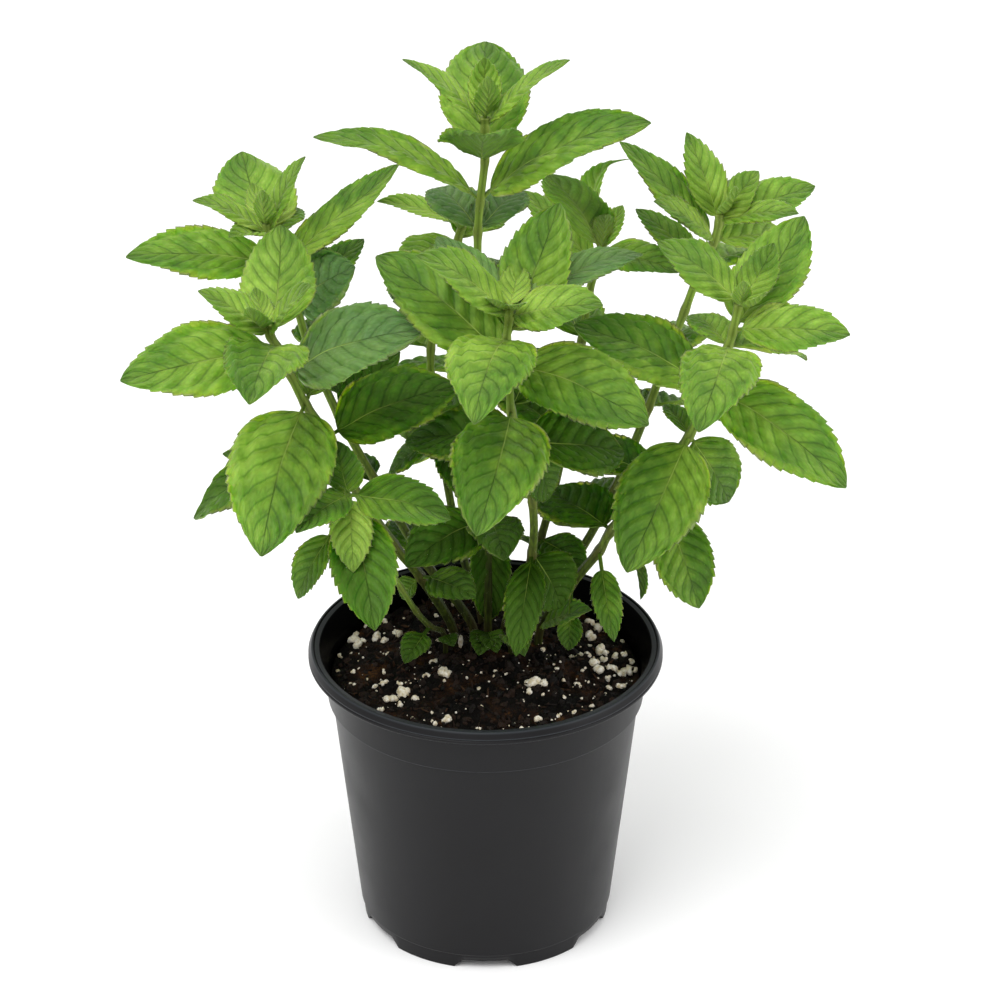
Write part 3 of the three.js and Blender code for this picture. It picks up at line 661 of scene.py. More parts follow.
def drill_drains(pot):
    """Cuts the drain holes out of the floor: one in the middle and one between each two notches."""
    angles = np.radians(360 / FOOT_COUNT * (np.arange(FOOT_COUNT) + 0.5) - 90)
    middles = np.vstack([[0, 0], DRAIN_CIRCLE * np.stack([np.cos(angles), np.sin(angles)], axis=1)])
    turn = np.linspace(0, 2 * np.pi, 32, endpoint=False)
    circle = DRAIN_RADIUS * np.stack([np.cos(turn), np.sin(turn)], axis=1)
    drills = []
    for middle in middles:
        rings = [np.column_stack([circle + middle, np.full(len(turn), z)]) for z in (1, 10)]
        drills.append(skin(np.array(rings)))
    drill = add_piece("drill", joined(drills), pot.data.materials[0])
    cut = pot.modifiers.new("drains", "BOOLEAN")
    cut.object, cut.operation, cut.solver = drill, "DIFFERENCE", "MANIFOLD"
    drilled = pot.evaluated_get(bpy.context.evaluated_depsgraph_get())
    bored = bpy.data.meshes.new_from_object(drilled)
    pot.modifiers.clear()
    pot.data = bored
    bpy.data.objects.remove(drill)


# ---- soil ----


def soil_height(x, y):
    """Height of the soil: a parabolic dome, two long waves and random grain in four sizes."""
    radius = COLLAR_RADIUS - WALL
    distance = np.hypot(x, y)
    dome = SOIL_DOME * (1 - (distance / radius) ** 2)
    bumps = np.sin(0.31 * x + 1) * np.sin(0.27 * y) + np.sin(0.13 * x - 0.17 * y + 2)
    place = np.stack([x, y, 0 * x], axis=-1)
    crumbs = sum(rise * noise(place, size, k + 1) for k, (size, rise) in enumerate(CRUMBLE))
    at_wall = smoothstep((radius - distance) / 3)
    return SOIL_LEVEL + dome + (SOIL_BUMP * bumps + crumbs) * at_wall


def make_soil(material):
    """Rings from the middle of the underside, up the wall, then over the top to the middle."""
    step = POT_HEIGHT - COLLAR_HEIGHT
    clear = 1.3 * GAP
    collar = COLLAR_RADIUS - WALL - clear
    foot = BAND_RADIUS - 2 * WALL - clear
    bottom = FLOOR_HEIGHT + GAP
    wall = [[1, bottom], [foot, bottom], [collar - STEP, step - 2], [collar, step]]
    wall = np.array(wall, float)
    turn = np.linspace(0, 2 * np.pi, SOIL_SIDES, endpoint=False)
    reach = np.concatenate([wall[:, 0], np.linspace(collar, 0.4, SOIL_RINGS)])[:, None]
    x, y = reach * np.cos(turn), reach * np.sin(turn)
    z = np.vstack([wall[:, 1:] + 0 * turn, soil_height(x[len(wall) :], y[len(wall) :])])
    add_piece("potting_soil", skin(np.stack([x, y, z], axis=-1)), material, ["soil"])


def on_soil(x, y, sink):
    """Places on the soil's surface, sunk by that much."""
    return np.stack([x, y, soil_height(x, y) - sink], axis=-1)


def scatter_on_soil(count, seed):
    """Even random places over the soil, out to just inside the wall."""
    rng = np.random.default_rng(seed)
    distance = (COLLAR_RADIUS - WALL - 3) * np.sqrt(rng.uniform(0, 1, count))
    angle = rng.uniform(0, 2 * np.pi, count)
    return distance * np.cos(angle), distance * np.sin(angle), rng


def make_crumbs(material):
    """Angular crumbs of peat and bark all over the soil."""
    x, y, rng = scatter_on_soil(CRUMB_COUNT, 11)
    size = CRUMB_SIZE * rng.lognormal(0, 0.45, (CRUMB_COUNT, 1))
    size = size * rng.uniform(0.6, 1.3, (CRUMB_COUNT, 3))
    places = on_soil(x, y, 0.1 * size.mean(axis=1))
    add_piece("peat_crumbs", scattered(places, size, 0.5, 12), material, smooth=False)


def make_fibres(material):
    """Slivers of bark and root fibre, long and thin, that stick out every way."""
    x, y, rng = scatter_on_soil(FIBRE_COUNT, 21)
    size = np.stack([rng.uniform(*half, FIBRE_COUNT) for half in FIBRE_HALF_SIZES], axis=1)
    fibres = scattered(on_soil(x, y, 0), size, 0.4, 22)
    add_piece("bark_fibres", fibres, material, smooth=False)


def make_perlite(material):
    """The grains of PERLITE, the chip that stands on end, and fine specks all over the soil."""
    rng = np.random.default_rng(31)
    grown = np.repeat(np.array(PERLITE, float), KNOBS, axis=0)
    half = grown[:, 2]
    middles = grown[:, :2] + half[:, None] * rng.uniform(-KNOB_SPREAD, KNOB_SPREAD, (len(half), 2))
    knob = KNOB_SIZE * half * rng.uniform(0.7, 1.2, len(half))
    clear_of_wall = COLLAR_RADIUS - WALL - GAP - 1.4 * knob
    middles *= np.minimum(1, clear_of_wall / np.hypot(*middles.T))[:, None]
    size = knob[:, None] * rng.uniform(0.8, 1.12, (len(half), 3))
    grains = scattered(on_soil(*middles.T, -0.3 * half), size, 0.35, 32)
    chip_x, chip_y, chip_half = CHIP
    chip_place = on_soil(*np.array([[chip_x], [chip_y]], float), -chip_half)
    chip = scattered(chip_place, np.array([CHIP_HALF_SIZE]), 0.2, 33)
    middle = chip["points"].mean(axis=0)
    chip["points"] = (chip["points"] - middle) * CHIP_STRETCH + middle
    x, y, rng = scatter_on_soil(SPECK_COUNT, 41)
    size = SPECK_SIZE * rng.lognormal(0, 0.4, (SPECK_COUNT, 1))
    size = size * rng.uniform(0.7, 1.2, (SPECK_COUNT, 3))
    specks = scattered(on_soil(x, y, -0.3 * size.mean(axis=1)), size, 0.3, 42)
    add_piece("perlite_grains", joined([grains, chip, specks]), material)


# ---- stems ----


def stem_line(joints):
    """Points on a stem's middle line, and the place of each: 0 at the root, 1 at the first joint.

    The line is the Catmull-Rom curve from the root, straight under the first joint, through the
    joints.
    """
    root = np.subtract(joints[0], [0, 0, ROOT_DEPTH])
    knots = np.vstack([root, joints])
    padded = np.vstack([2 * knots[0] - knots[1], knots, 2 * knots[-1] - knots[-2]])
    place = np.linspace(0, len(joints), STEM_STEPS * len(joints) + 1)
    low = np.minimum(place.astype(int), len(joints) - 1)
    w = (place - low)[:, None]
    a, b, c, d = (padded[low + k] for k in range(4))
    start, end = (c - a) / 2, (d - b) / 2
    line = (2 * w**3 - 3 * w**2 + 1) * b + (w**3 - 2 * w**2 + w) * start
    line += (3 * w**2 - 2 * w**3) * c + (w**3 - w**2) * end
    return line, place


def stem_surface(joints, share):
    """A square stem with hollow faces, carried along its line, with a swelling at each joint.

    Its section is a curve of the fourth power, pressed in by a cosine on the four faces, and each
    swelling is a bell curve of the way to the joint. share is its thickness next to the others.
    """
    line, place = stem_line(joints)
    spans = len(joints)
    half = share * (STEM_FOOT + (STEM_TIP - STEM_FOOT) * place / spans)
    run = np.concatenate([[0], np.cumsum(np.linalg.norm(np.diff(line, axis=0), axis=1))])
    to_joint = np.abs(run[:, None] - run[STEM_STEPS * np.arange(1, spans + 1)]).min(axis=1)
    half = half * (1 + NODE_SWELLING * np.exp(-((to_joint / NODE_REACH) ** 2)) * (place > 1.5))
    ahead = unit(np.gradient(line, axis=0))
    side = unit(np.cross([1, 0, 0], ahead))
    other = np.cross(ahead, side)
    turn = np.linspace(0, 2 * np.pi, STEM_SIDES, endpoint=False)
    square = 1.02 / (np.abs(np.cos(turn)) ** 4 + np.abs(np.sin(turn)) ** 4) ** 0.25
    square = square * (1 - 0.07 * np.cos(2 * turn) ** 2)
    x, y = square * np.cos(turn), square * np.sin(turn)
    outwards = side[:, None] * x[:, None] + other[:, None] * y[:, None]
    rings = line[:, None] + half[:, None, None] * outwards
    every = np.ones_like(rings[..., :1])
    # From 0 below the first joint to 1 at the top; the finish darkens the stem downwards, partly
    # because it is older there and partly as painted shade near the soil
    tone = ((place - 1) / (spans - 1)).clip(0)[:, None, None] * every
    node = np.exp(-((to_joint / BROWN_REACH) ** 2))[:, None, None] * every
    ridge = np.abs(np.sin(2 * turn))[None, :, None] * every
    return skin(rings, tone=tone, ridge=ridge, node=node), rings, outwards


# ---- leaves ----


def tooth_rows(blade_length, rng):
    """Rows along a blade, from 0 to 1, and how far out of the margin its tooth reaches at each row.

    The teeth point forward: each rises slowly from its notch to its point and falls back at once.
    Their heights vary, on the two margins apart, and die away towards the tip.
    """
    teeth = int(round(FEWEST_TEETH + blade_length / TOOTH_PITCH))
    up = np.linspace(0, TOOTH_POINT, 6 if blade_length > LONG else 4)
    rows = (np.arange(teeth)[:, None] + up).ravel() / teeth * 0.975
    heights = rng.uniform(0.55, 1.2, (2, teeth, 1)) * (up / TOOTH_POINT) ** 0.8
    reach = heights.reshape(2, -1) * np.minimum(1, (1 - rows) / 0.25)
    return np.append(rows, [0.98, 0.995]), np.pad(reach, ((0, 0), (0, 2))), teeth


def half_width(t, width):
    """Half the width of a leaf at t: the root of the squares of the blade's and the stalk's.

    The blade's is the power of t that fills the base times the power of 1 - t that draws out the
    tip, and the stalk's shrinks over the first third of the blade.
    """
    blade = width / 2 * (t / WIDEST) ** FULLNESS
    blade = blade * ((1 - t) / (1 - WIDEST)) ** (FULLNESS * (1 / WIDEST - 1))
    return np.hypot(blade, STALK_WIDTH / 2 * (1 - 0.9 * smoothstep(t / 0.3)))


def swellings(t, v, veins):
    """Rise and fall of a blade between its side veins: -0.6 on a vein and 0.4 between two.

    It is 0.4 less a power of the cosine of the place between two veins, and dies away at the rib,
    the margin, the base and the tip.
    """
    a = np.abs(v)
    shift = VEIN_LEAN[0] * a + VEIN_LEAN[1] * a**3
    between = veins * (t - shift) + SIDE_SHIFT * (v < 0)
    swell = 0.4 - np.abs(np.cos(np.pi * between)) ** 2.5
    swell = swell * (1 - np.exp(-((a / 0.12) ** 2))) * (1 - 0.8 * a**6)
    return swell * smoothstep(t / 0.1) * (1 - t**8)


def leaf_surface(base, tip, width, bearing, number, values):
    """One leaf from the centre of its stem to its tip, as rings round the blade.

    bearing holds its lean, arch, stalk and fold. u runs from 0 at the stem to 1 at the tip, t from
    0 to 1 along the blade alone, and v from -1 to 1 across it. The blade rises along its chord as a
    parabola, folds up from the rib to the margin, waves at the margin, and swells between its side
    veins. Its two halves differ a little in colour: painted light on one and painted shade on the
    other.
    """
    lean, arch, stalk, fold = bearing
    rng = np.random.default_rng(100 + number)
    base, tip = np.array(base, float), np.array(tip, float)
    length = np.linalg.norm(tip - base)
    along = (tip - base) / length
    up = np.array([0, -lean, 1.0])
    up = unit(up - along * (up @ along))
    side = np.cross(along, up)

    blade_length = (1 - stalk) * length
    t, reach, teeth = tooth_rows(blade_length, rng)
    stalk_u = np.linspace(0, stalk, 5)[:-1]
    u = np.concatenate([stalk_u, stalk + (1 - stalk) * t])[:, None]
    t = np.concatenate([0 * stalk_u, t])[:, None]
    reach = np.pad(reach, ((0, 0), (len(stalk_u), 0)))[..., None]
    columns = COLUMNS[width > BROAD]
    v = np.linspace(-1, 1, columns + 1)[None, :]
    v = v * (1.25 - 0.25 * v**2)
    a = np.abs(v)

    half = half_width(t, width)
    tooth = np.where(v < 0, reach[0], reach[1])
    toothed = smoothstep(t / 0.12) * a**6
    tooth_depth = min(TOOTH_LENGTH, TOOTH_SHARE * blade_length / teeth)
    x = v * half + np.sign(v) * tooth_depth * (tooth - 0.35) * toothed
    x = x + BOW * length * np.sin(5 * number) * 4 * u * (1 - u)
    forward = u + TOOTH_LEAN * (1 - stalk) / teeth * tooth * toothed

    phase = GOLDEN_ANGLE * number
    rounded_v = (np.sqrt(v**2 + 0.02) - 0.141) / 0.869
    wave = RIPPLE * np.sin(9 * u + phase * (1 + v)) * rounded_v
    crown = CROWN * 4 * a * (1 - a)
    rise = arch * length * 4 * u * (1 - u)
    veins = FEWEST_VEINS + blade_length / VEIN_PITCH
    swell = QUILTING * width * swellings(t, v, veins)
    lift = rise + half * (fold * rounded_v + wave + crown) + swell

    on_blade = smoothstep(t / 0.06)
    section = (1 - on_blade) * STALK_THICKNESS / 2 * np.sqrt(np.clip(1 - a**2, 0, 1))
    section = section + on_blade * BLADE_THICKNESS / 2 * (1 - a**6)
    groove = on_blade * RIB_GROOVE * (1 - t) * np.exp(-((v * half / 0.8) ** 2))
    rib = on_blade * (RIB_RISE * (1 - t) + 0.1) * np.exp(-((v * half / 1.1) ** 2))

    def place(height):
        return (
            base
            + along * (forward * length)[..., None]
            + side * x[..., None]
            + up * (lift + height)[..., None]
        )

    upper, lower = place(section - groove), place(-section - rib)
    bend = SWAY[0] * width * on_blade[..., None] * smoothstep(t / 0.3)[..., None]
    sway = up * bend * noise(upper, SWAY[1], 50 + number)[..., None]
    upper, lower = upper + sway, lower + sway
    back = slice(-2, 0, -1)
    grid = np.ones_like(lift)
    blade_values = np.stack([t * grid, v * grid, veins * grid], axis=-1)
    rings = np.concatenate([upper, lower[:, back]], axis=1)
    blade_values = np.concatenate([blade_values, blade_values[:, back]], axis=1)
    every = np.ones(rings.shape[:2] + (1,))
    under = 0 * every
    under[:, columns + 1 :] = 1
    values = {name: value * every for name, value in values.items()}
    # Painted light and shade: one half of the leaf moves up the scale of colours and the other down
    halves = HALF_LIGHTING * np.sin(7.3 * number) * np.clip(4 * blade_values[..., 1:2], -1, 1)
    values["tone"] = values["tone"] + halves
    return skin(rings, blade=blade_values, under=under, **values), upper, up


def leaf_age_and_shade(share, width, number, darker):
    """From 0, old and dark, to 1, young and bright: by how far up the shoot the leaf grows, lowered
    by painted shade for a stem in the shade.
    """
    chance = np.random.default_rng(900 + number).normal(0, CHANCE)
    bud = BUD_BRIGHTER if width < YOUNG_WIDTH else 0
    age_and_shade = OLDEST + (YOUNGEST - OLDEST) * share**1.6 + bud - darker + chance
    return float(np.clip(age_and_shade, 0, 1))


def leaf_down(upper, up, number):
    """Feet and directions of the fine hairs on a leaf: along its margin, and a few on its face."""
    rng = np.random.default_rng(300 + number)
    rows, columns = upper.shape[:2]
    row = rng.integers(4, rows - 1, MARGIN_HAIRS + FACE_HAIRS)
    column = rng.integers(1, columns - 1, MARGIN_HAIRS + FACE_HAIRS)
    column[:MARGIN_HAIRS] = np.where(rng.uniform(size=MARGIN_HAIRS) < 0.5, 0, columns - 1)
    feet = upper[row, column]
    inner = upper[row, np.clip(column, 2, columns - 3)]
    out = feet - inner
    out[MARGIN_HAIRS:] = 0
    out = out / np.maximum(np.linalg.norm(out, axis=1, keepdims=True), 0.3)
    ahead = unit(upper[np.minimum(row + 1, rows - 1), column] - upper[row - 1, column])
    directions = out + 0.5 * ahead + up * 0.6 + rng.normal(0, 0.25, feet.shape)
    return feet, directions


def make_shoot(name, plan, number, materials):
    """One leafy stem: its stem, its leaves and its down are a piece each."""
    joints = plan["joints"]
    stem, rings, outwards = stem_surface(joints, THINNER.get(name, 1))
    add_piece("stem_" + name, stem, materials["stem"], ["shoot_" + name])
    leaves, feet, directions = [], [], []
    for k, row in enumerate(plan["leaves"]):
        usual = [LEAN, ARCH, STALK, YOUNG_FOLD if row[4] < YOUNG_WIDTH else FOLD]
        joint, x, y, z, width, *bearing = row + usual[len(row) - 5 :]
        # Painted shade: all leaves of a stem in the shade move down the scale
        age_and_shade = leaf_age_and_shade(joint / (len(joints) - 1), width, 40 * number + k, DARKER.get(name, 0))
        # The leaves listed as dark move down the scale: partly because they are old, partly as
        # painted shade
        age_and_shade += FRESHER * (k in FRESH.get(name, [])) - OLD_AND_SHADED_DROP * (k in OLD_AND_SHADED.get(name, []))
        values = {"tone": age_and_shade, "grey": float(k in GREY.get(name, []))}
        leaf, upper, up = leaf_surface(joints[joint], (x, y, z), width, bearing, k, values)
        leaves.append(leaf)
        for found, more in zip((feet, directions), leaf_down(upper, up, 40 * number + k)):
            found.append(more)
    add_piece("leaves_" + name, joined(leaves), materials["leaf"], ["shoot_" + name])
    rng = np.random.default_rng(700 + number)
    ring = rng.integers(STEM_STEPS + 2, len(rings) - 1, STEM_HAIRS)
    side = rng.integers(0, rings.shape[1], STEM_HAIRS)
    feet.append(rings[ring, side])
    directions.append(outwards[ring, side] + rng.normal(0, 0.2, (STEM_HAIRS, 3)) - [0, 0, 0.3])
    feet, directions = np.vstack(feet), np.vstack(directions)
    length = np.random.default_rng(800 + number).uniform(*HAIR_LENGTHS, len(feet))
    down = hairs(feet, directions, length, HAIR_WIDTH)
    add_piece("down_" + name, down, materials["down"])


# ---- finishes ----


NOISE_RANGE = {"From Min": 0.3, "From Max": 0.7}  # holds nearly all values of a noise pattern


def linear(colour):
    """The linear red, green, blue and alpha of an sRGB hex colour."""
    channels = np.array([int(colour[i : i + 2], 16) for i in (0, 2, 4)]) / 255
    straight = np.where(channels <= 0.04045, channels / 12.92, ((channels + 0.055) / 1.055) ** 2.4)
    return (*straight, 1.0)


def repeats(size):
    """Texture scale on Object coordinates for features of that size in millimetres."""
    return 1 / (size * MM)


def add_node(material, kind, inputs=None, stops=(), **settings):
    """Adds a shader node. Each input takes a value, or another node's first or given output."""
    tree = material.node_tree
    node = tree.nodes.new(kind)
    for name, value in settings.items():
        setattr(node, name, value)
    for name, value in (inputs or {}).items():
        if isinstance(value, bpy.types.Node):
            value = value.outputs[0]
        if isinstance(value, bpy.types.NodeSocket):
            tree.links.new(value, node.inputs[name])
        else:
            node.inputs[name].default_value = linear(value) if isinstance(value, str) else value
    for k, (place, colour) in enumerate(stops):
        element = node.color_ramp.elements[k] if k < 2 else node.color_ramp.elements.new(place)
        element.position, element.color = place, linear(colour)
    return node


def new_material(name, **finish):
    """A material with its Principled shader, whose constant values are set on its own sockets."""
    material = bpy.data.materials.new(name)
    material.use_nodes = True
    shader = material.node_tree.nodes["Principled BSDF"]
    for socket, value in finish.items():
        socket = socket.replace("_", " ")
        shader.inputs[socket].default_value = linear(value) if isinstance(value, str) else value
    return material, shader


def set_inputs(material, shader, **nodes):
    """Links nodes to the shader's sockets."""
    for socket, node in nodes.items():
        material.node_tree.links.new(node.outputs[0], shader.inputs[socket.replace("_", " ")])


def leaf_veins(material, t, v, a, veins):
    """Where the veins of a leaf run, from its own t and v, the size of v and the number of veins.

    Gives the place between two side veins, which is a whole number on a vein, the distance to the
    nearest vein, the side veins, the rib and the rib's pale part.
    """
    cubed = add_node(material, "ShaderNodeMath", {0: a, 1: 3.0}, operation="POWER")
    cubed = add_node(material, "ShaderNodeMath", {0: cubed, 1: VEIN_LEAN[1]}, operation="MULTIPLY")
    shift = add_node(
        material, "ShaderNodeMath", {0: a, 1: VEIN_LEAN[0], 2: cubed}, operation="MULTIPLY_ADD"
    )
    back = add_node(material, "ShaderNodeMath", {0: t, 1: shift}, operation="SUBTRACT")
    left = add_node(material, "ShaderNodeMath", {0: v, 1: 0.0}, operation="LESS_THAN")
    left = add_node(material, "ShaderNodeMath", {0: left, 1: SIDE_SHIFT}, operation="MULTIPLY")
    between = add_node(
        material, "ShaderNodeMath", {0: back, 1: veins, 2: left}, operation="MULTIPLY_ADD"
    )
    from_vein = add_node(material, "ShaderNodeMath", {0: between, 1: 0.5}, operation="PINGPONG")
    side_vein = add_node(
        material,
        "ShaderNodeMapRange",
        {"Value": from_vein, "From Max": 0.14, "To Min": 1.0, "To Max": 0.0},
        interpolation_type="SMOOTHSTEP",
    )
    to_margin = add_node(
        material,
        "ShaderNodeMapRange",
        {"Value": a, "From Min": 0.6, "From Max": 0.95, "To Min": 1.0, "To Max": 0.0},
        interpolation_type="SMOOTHSTEP",
    )
    side_vein = add_node(
        material, "ShaderNodeMath", {0: side_vein, 1: to_margin}, operation="MULTIPLY"
    )

    # The rib: pale from the stalk to past the middle of the blade, then a dark line
    rib = add_node(
        material,
        "ShaderNodeMapRange",
        {"Value": a, "From Min": 0.006, "From Max": 0.022, "To Min": 1.0, "To Max": 0.0},
        interpolation_type="SMOOTHSTEP",
    )
    near = add_node(
        material,
        "ShaderNodeMapRange",
        {"Value": t, "From Min": 0.15, "From Max": 0.6, "To Min": 1.0, "To Max": 0.0},
    )
    pale_rib = add_node(material, "ShaderNodeMath", {0: rib, 1: near}, operation="MULTIPLY")
    return between, from_vein, side_vein, rib, pale_rib


def leaf_relief(material, from_vein, net, rib, under, down):
    """Swellings with sunken veins on a leaf's upper face, raised veins below, and its down."""
    swell = add_node(
        material,
        "ShaderNodeMapRange",
        {"Value": from_vein, "From Max": 0.4, "To Max": 1.5},
        interpolation_type="SMOOTHSTEP",
    )
    relief = add_node(
        material, "ShaderNodeMath", {0: net, 1: 0.3, 2: swell}, operation="MULTIPLY_ADD"
    )
    face = add_node(
        material, "ShaderNodeMapRange", {"Value": under, "To Min": 1.0, "To Max": -1.0}
    )
    relief = add_node(material, "ShaderNodeMath", {0: relief, 1: face}, operation="MULTIPLY")
    relief = add_node(material, "ShaderNodeMath", {0: relief, 1: rib}, operation="SUBTRACT")
    relief = add_node(
        material, "ShaderNodeMath", {0: down, 1: 0.25, 2: relief}, operation="MULTIPLY_ADD"
    )
    return add_node(
        material, "ShaderNodeBump", {"Strength": 0.8, "Distance": 0.0005, "Height": relief}
    )


def mint_leaf():
    """Living mint leaf: thin, so that light shines through it, and downy, with a painted grey-green
    sheen towards its tip.
    """
    material, shader = new_material(
        "mint_leaf",
        IOR=1.42,
        Subsurface_Weight=0.4,
        Subsurface_Radius=(0.5, 1.0, 0.12),
        Subsurface_Scale=0.0015,
        Sheen_Roughness=0.4,
        Sheen_Tint="dcecb4",
    )
    object_place = add_node(material, "ShaderNodeTexCoord").outputs["Object"]
    blade = add_node(material, "ShaderNodeAttribute", attribute_name="blade")
    blade = add_node(material, "ShaderNodeSeparateXYZ", {0: blade.outputs["Vector"]})
    t, v, veins = blade.outputs
    tone = add_node(material, "ShaderNodeAttribute", attribute_name="tone").outputs["Fac"]
    grey = add_node(material, "ShaderNodeAttribute", attribute_name="grey").outputs["Fac"]
    under = add_node(material, "ShaderNodeAttribute", attribute_name="under").outputs["Fac"]
    a = add_node(material, "ShaderNodeMath", {0: v}, operation="ABSOLUTE")

    between, from_vein, side_vein, rib, pale_rib = leaf_veins(material, t, v, a, veins)
    dark_rib = add_node(material, "ShaderNodeMath", {0: rib, 1: pale_rib}, operation="SUBTRACT")
    dark_lines = add_node(
        material, "ShaderNodeMath", {0: side_vein, 1: dark_rib}, operation="MAXIMUM"
    )

    # The fine net of veins between the side veins
    scaled_v = add_node(material, "ShaderNodeMath", {0: v, 1: 3.2}, operation="MULTIPLY")
    net_place = add_node(material, "ShaderNodeCombineXYZ", {0: between, 1: scaled_v, 2: tone})
    net = add_node(
        material,
        "ShaderNodeTexVoronoi",
        {"Vector": net_place, "Scale": 2.6},
        feature="DISTANCE_TO_EDGE",
    )
    net = add_node(
        material,
        "ShaderNodeMapRange",
        {"Value": net, "From Max": 0.32},
        interpolation_type="SMOOTHSTEP",
    )

    # Colour: by how old the leaf is and by painted shade, and from base to tip, mottled, with a
    # painted grey-green sheen towards the tip, dark in the veins (partly their own colour, partly
    # painted shade in their grooves), pale at the margin and below
    mottle = add_node(
        material, "ShaderNodeTexNoise", {"Vector": object_place, "Scale": repeats(9), "Detail": 4.0}
    )
    mottled = add_node(
        material,
        "ShaderNodeMapRange",
        {"Value": mottle, **NOISE_RANGE, "To Min": -0.03, "To Max": 0.38},
    )
    aged = add_node(material, "ShaderNodeMath", {0: tone, 1: mottled}, operation="ADD")
    aged = add_node(material, "ShaderNodeMath", {0: t, 1: -0.35, 2: aged}, operation="MULTIPLY_ADD")
    colour = add_node(
        material,
        "ShaderNodeValToRGB",
        {0: aged},
        stops=[(0.0, "2c4906"), (1.0, "a2c04e"), (0.35, "4d7212"), (0.65, "7a9a2c")],
    )
    # Painted sheen: grey-green mixed in towards the tip
    tip_sheen = add_node(material, "ShaderNodeMath", {0: t, 1: 0.5}, operation="MULTIPLY")
    colour = add_node(material, "ShaderNodeMixRGB", {0: tip_sheen, 1: colour, 2: "648638"})
    dull = add_node(material, "ShaderNodeMath", {0: grey, 1: 0.7}, operation="MULTIPLY")
    colour = add_node(material, "ShaderNodeMixRGB", {0: dull, 1: colour, 2: "5a7a4c"})
    # The fine net of veins is a duller green: partly its own colour, partly painted shade in its
    # sunken lines
    net_shading = add_node(material, "ShaderNodeMixRGB", {0: net, 1: "b4c48a", 2: "ffffff"})
    colour = add_node(
        material, "ShaderNodeMixRGB", {0: 0.3, 1: colour, 2: net_shading}, blend_type="MULTIPLY"
    )
    # The side veins and the far part of the rib are dark: partly their own colour, partly painted
    # shade in their grooves
    dark = add_node(
        material, "ShaderNodeMixRGB", {0: 1.0, 1: colour, 2: "86a458"}, blend_type="MULTIPLY"
    )
    dark_share = add_node(
        material, "ShaderNodeMath", {0: dark_lines, 1: 0.65}, operation="MULTIPLY"
    )
    colour = add_node(material, "ShaderNodeMixRGB", {0: dark_share, 1: colour, 2: dark})
    pale_share = add_node(material, "ShaderNodeMath", {0: pale_rib, 1: 0.8}, operation="MULTIPLY")
    colour = add_node(material, "ShaderNodeMixRGB", {0: pale_share, 1: colour, 2: "b4cd62"})
    edge = add_node(
        material, "ShaderNodeMapRange", {"Value": a, "From Min": 0.97, "To Max": 0.15}
    )
    colour = add_node(material, "ShaderNodeMixRGB", {0: edge, 1: colour, 2: "b0c866"})
    pale = add_node(material, "ShaderNodeMixRGB", {0: 0.15, 1: colour, 2: "a3bf6a"})
    colour = add_node(material, "ShaderNodeMixRGB", {0: under, 1: colour, 2: pale})

    down = add_node(
        material,
        "ShaderNodeTexNoise",
        {"Vector": object_place, "Scale": repeats(0.35), "Detail": 2.0},
    )
    bump = leaf_relief(material, from_vein, net, rib, under, down)
    gloss = add_node(
        material,
        "ShaderNodeMapRange",
        {"Value": down, **NOISE_RANGE, "To Min": 0.45, "To Max": 0.62},
    )

    # Leaves low on the scale shine less and have less sheen: old ones because they have lost their
    # down, and those lowered as painted shade as part of that shade
    shine = add_node(
        material,
        "ShaderNodeMapRange",
        {"Value": tone, "From Max": 0.5, "To Min": 0.08, "To Max": 0.3},
    )
    downy = add_node(
        material,
        "ShaderNodeMapRange",
        {"Value": tone, "From Min": 0.1, "From Max": 0.6, "To Max": 0.2},
    )
    set_inputs(
        material,
        shader,
        Base_Color=colour,
        Normal=bump,
        Roughness=gloss,
        Specular_IOR_Level=shine,
        Sheen_Weight=downy,
    )
    return material


def mint_stem():
    """Soft green stem: four ribs, fine lines along it and browner at its joints; darker and duller
    towards its foot, partly because it is older there and partly as painted shade near the soil.
    """
    material, shader = new_material(
        "mint_stem",
        IOR=1.42,
        Specular_IOR_Level=0.25,
        Roughness=0.5,
        Sheen_Weight=0.1,
        Sheen_Tint="dcecb4",
    )
    object_place = add_node(material, "ShaderNodeTexCoord").outputs["Object"]
    tone = add_node(material, "ShaderNodeAttribute", attribute_name="tone").outputs["Fac"]
    node = add_node(material, "ShaderNodeAttribute", attribute_name="node").outputs["Fac"]
    ridge = add_node(material, "ShaderNodeAttribute", attribute_name="ridge").outputs["Fac"]
    stretched = add_node(
        material, "ShaderNodeMapping", {"Vector": object_place, "Scale": (1.0, 1.0, 0.12)}
    )
    lines = add_node(
        material, "ShaderNodeTexNoise", {"Vector": stretched, "Scale": repeats(1.2), "Detail": 3.0}
    )
    spread = add_node(
        material,
        "ShaderNodeMapRange",
        {"Value": lines, **NOISE_RANGE, "To Min": -0.12, "To Max": 0.12},
    )
    aged = add_node(material, "ShaderNodeMath", {0: tone, 1: spread}, operation="ADD")
    # Darker towards the foot: partly older skin, partly painted shade near the soil
    colour = add_node(
        material,
        "ShaderNodeValToRGB",
        {0: aged},
        stops=[(0.0, "2a300c"), (1.0, "9cb852"), (0.25, "566a1c"), (0.6, "7a9834")],
    )
    brown = add_node(material, "ShaderNodeMath", {0: node, 1: 0.35}, operation="MULTIPLY")
    colour = add_node(material, "ShaderNodeMixRGB", {0: brown, 1: colour, 2: "5d4a30"})
    shaded = add_node(
        material, "ShaderNodeMixRGB", {0: 1.0, 1: colour, 2: "b2bd98"}, blend_type="MULTIPLY"
    )
    colour = add_node(material, "ShaderNodeMixRGB", {0: ridge, 1: shaded, 2: colour})
    bump = add_node(
        material, "ShaderNodeBump", {"Strength": 0.4, "Distance": 0.0003, "Height": lines}
    )
    set_inputs(material, shader, Base_Color=colour, Normal=bump)
    return material


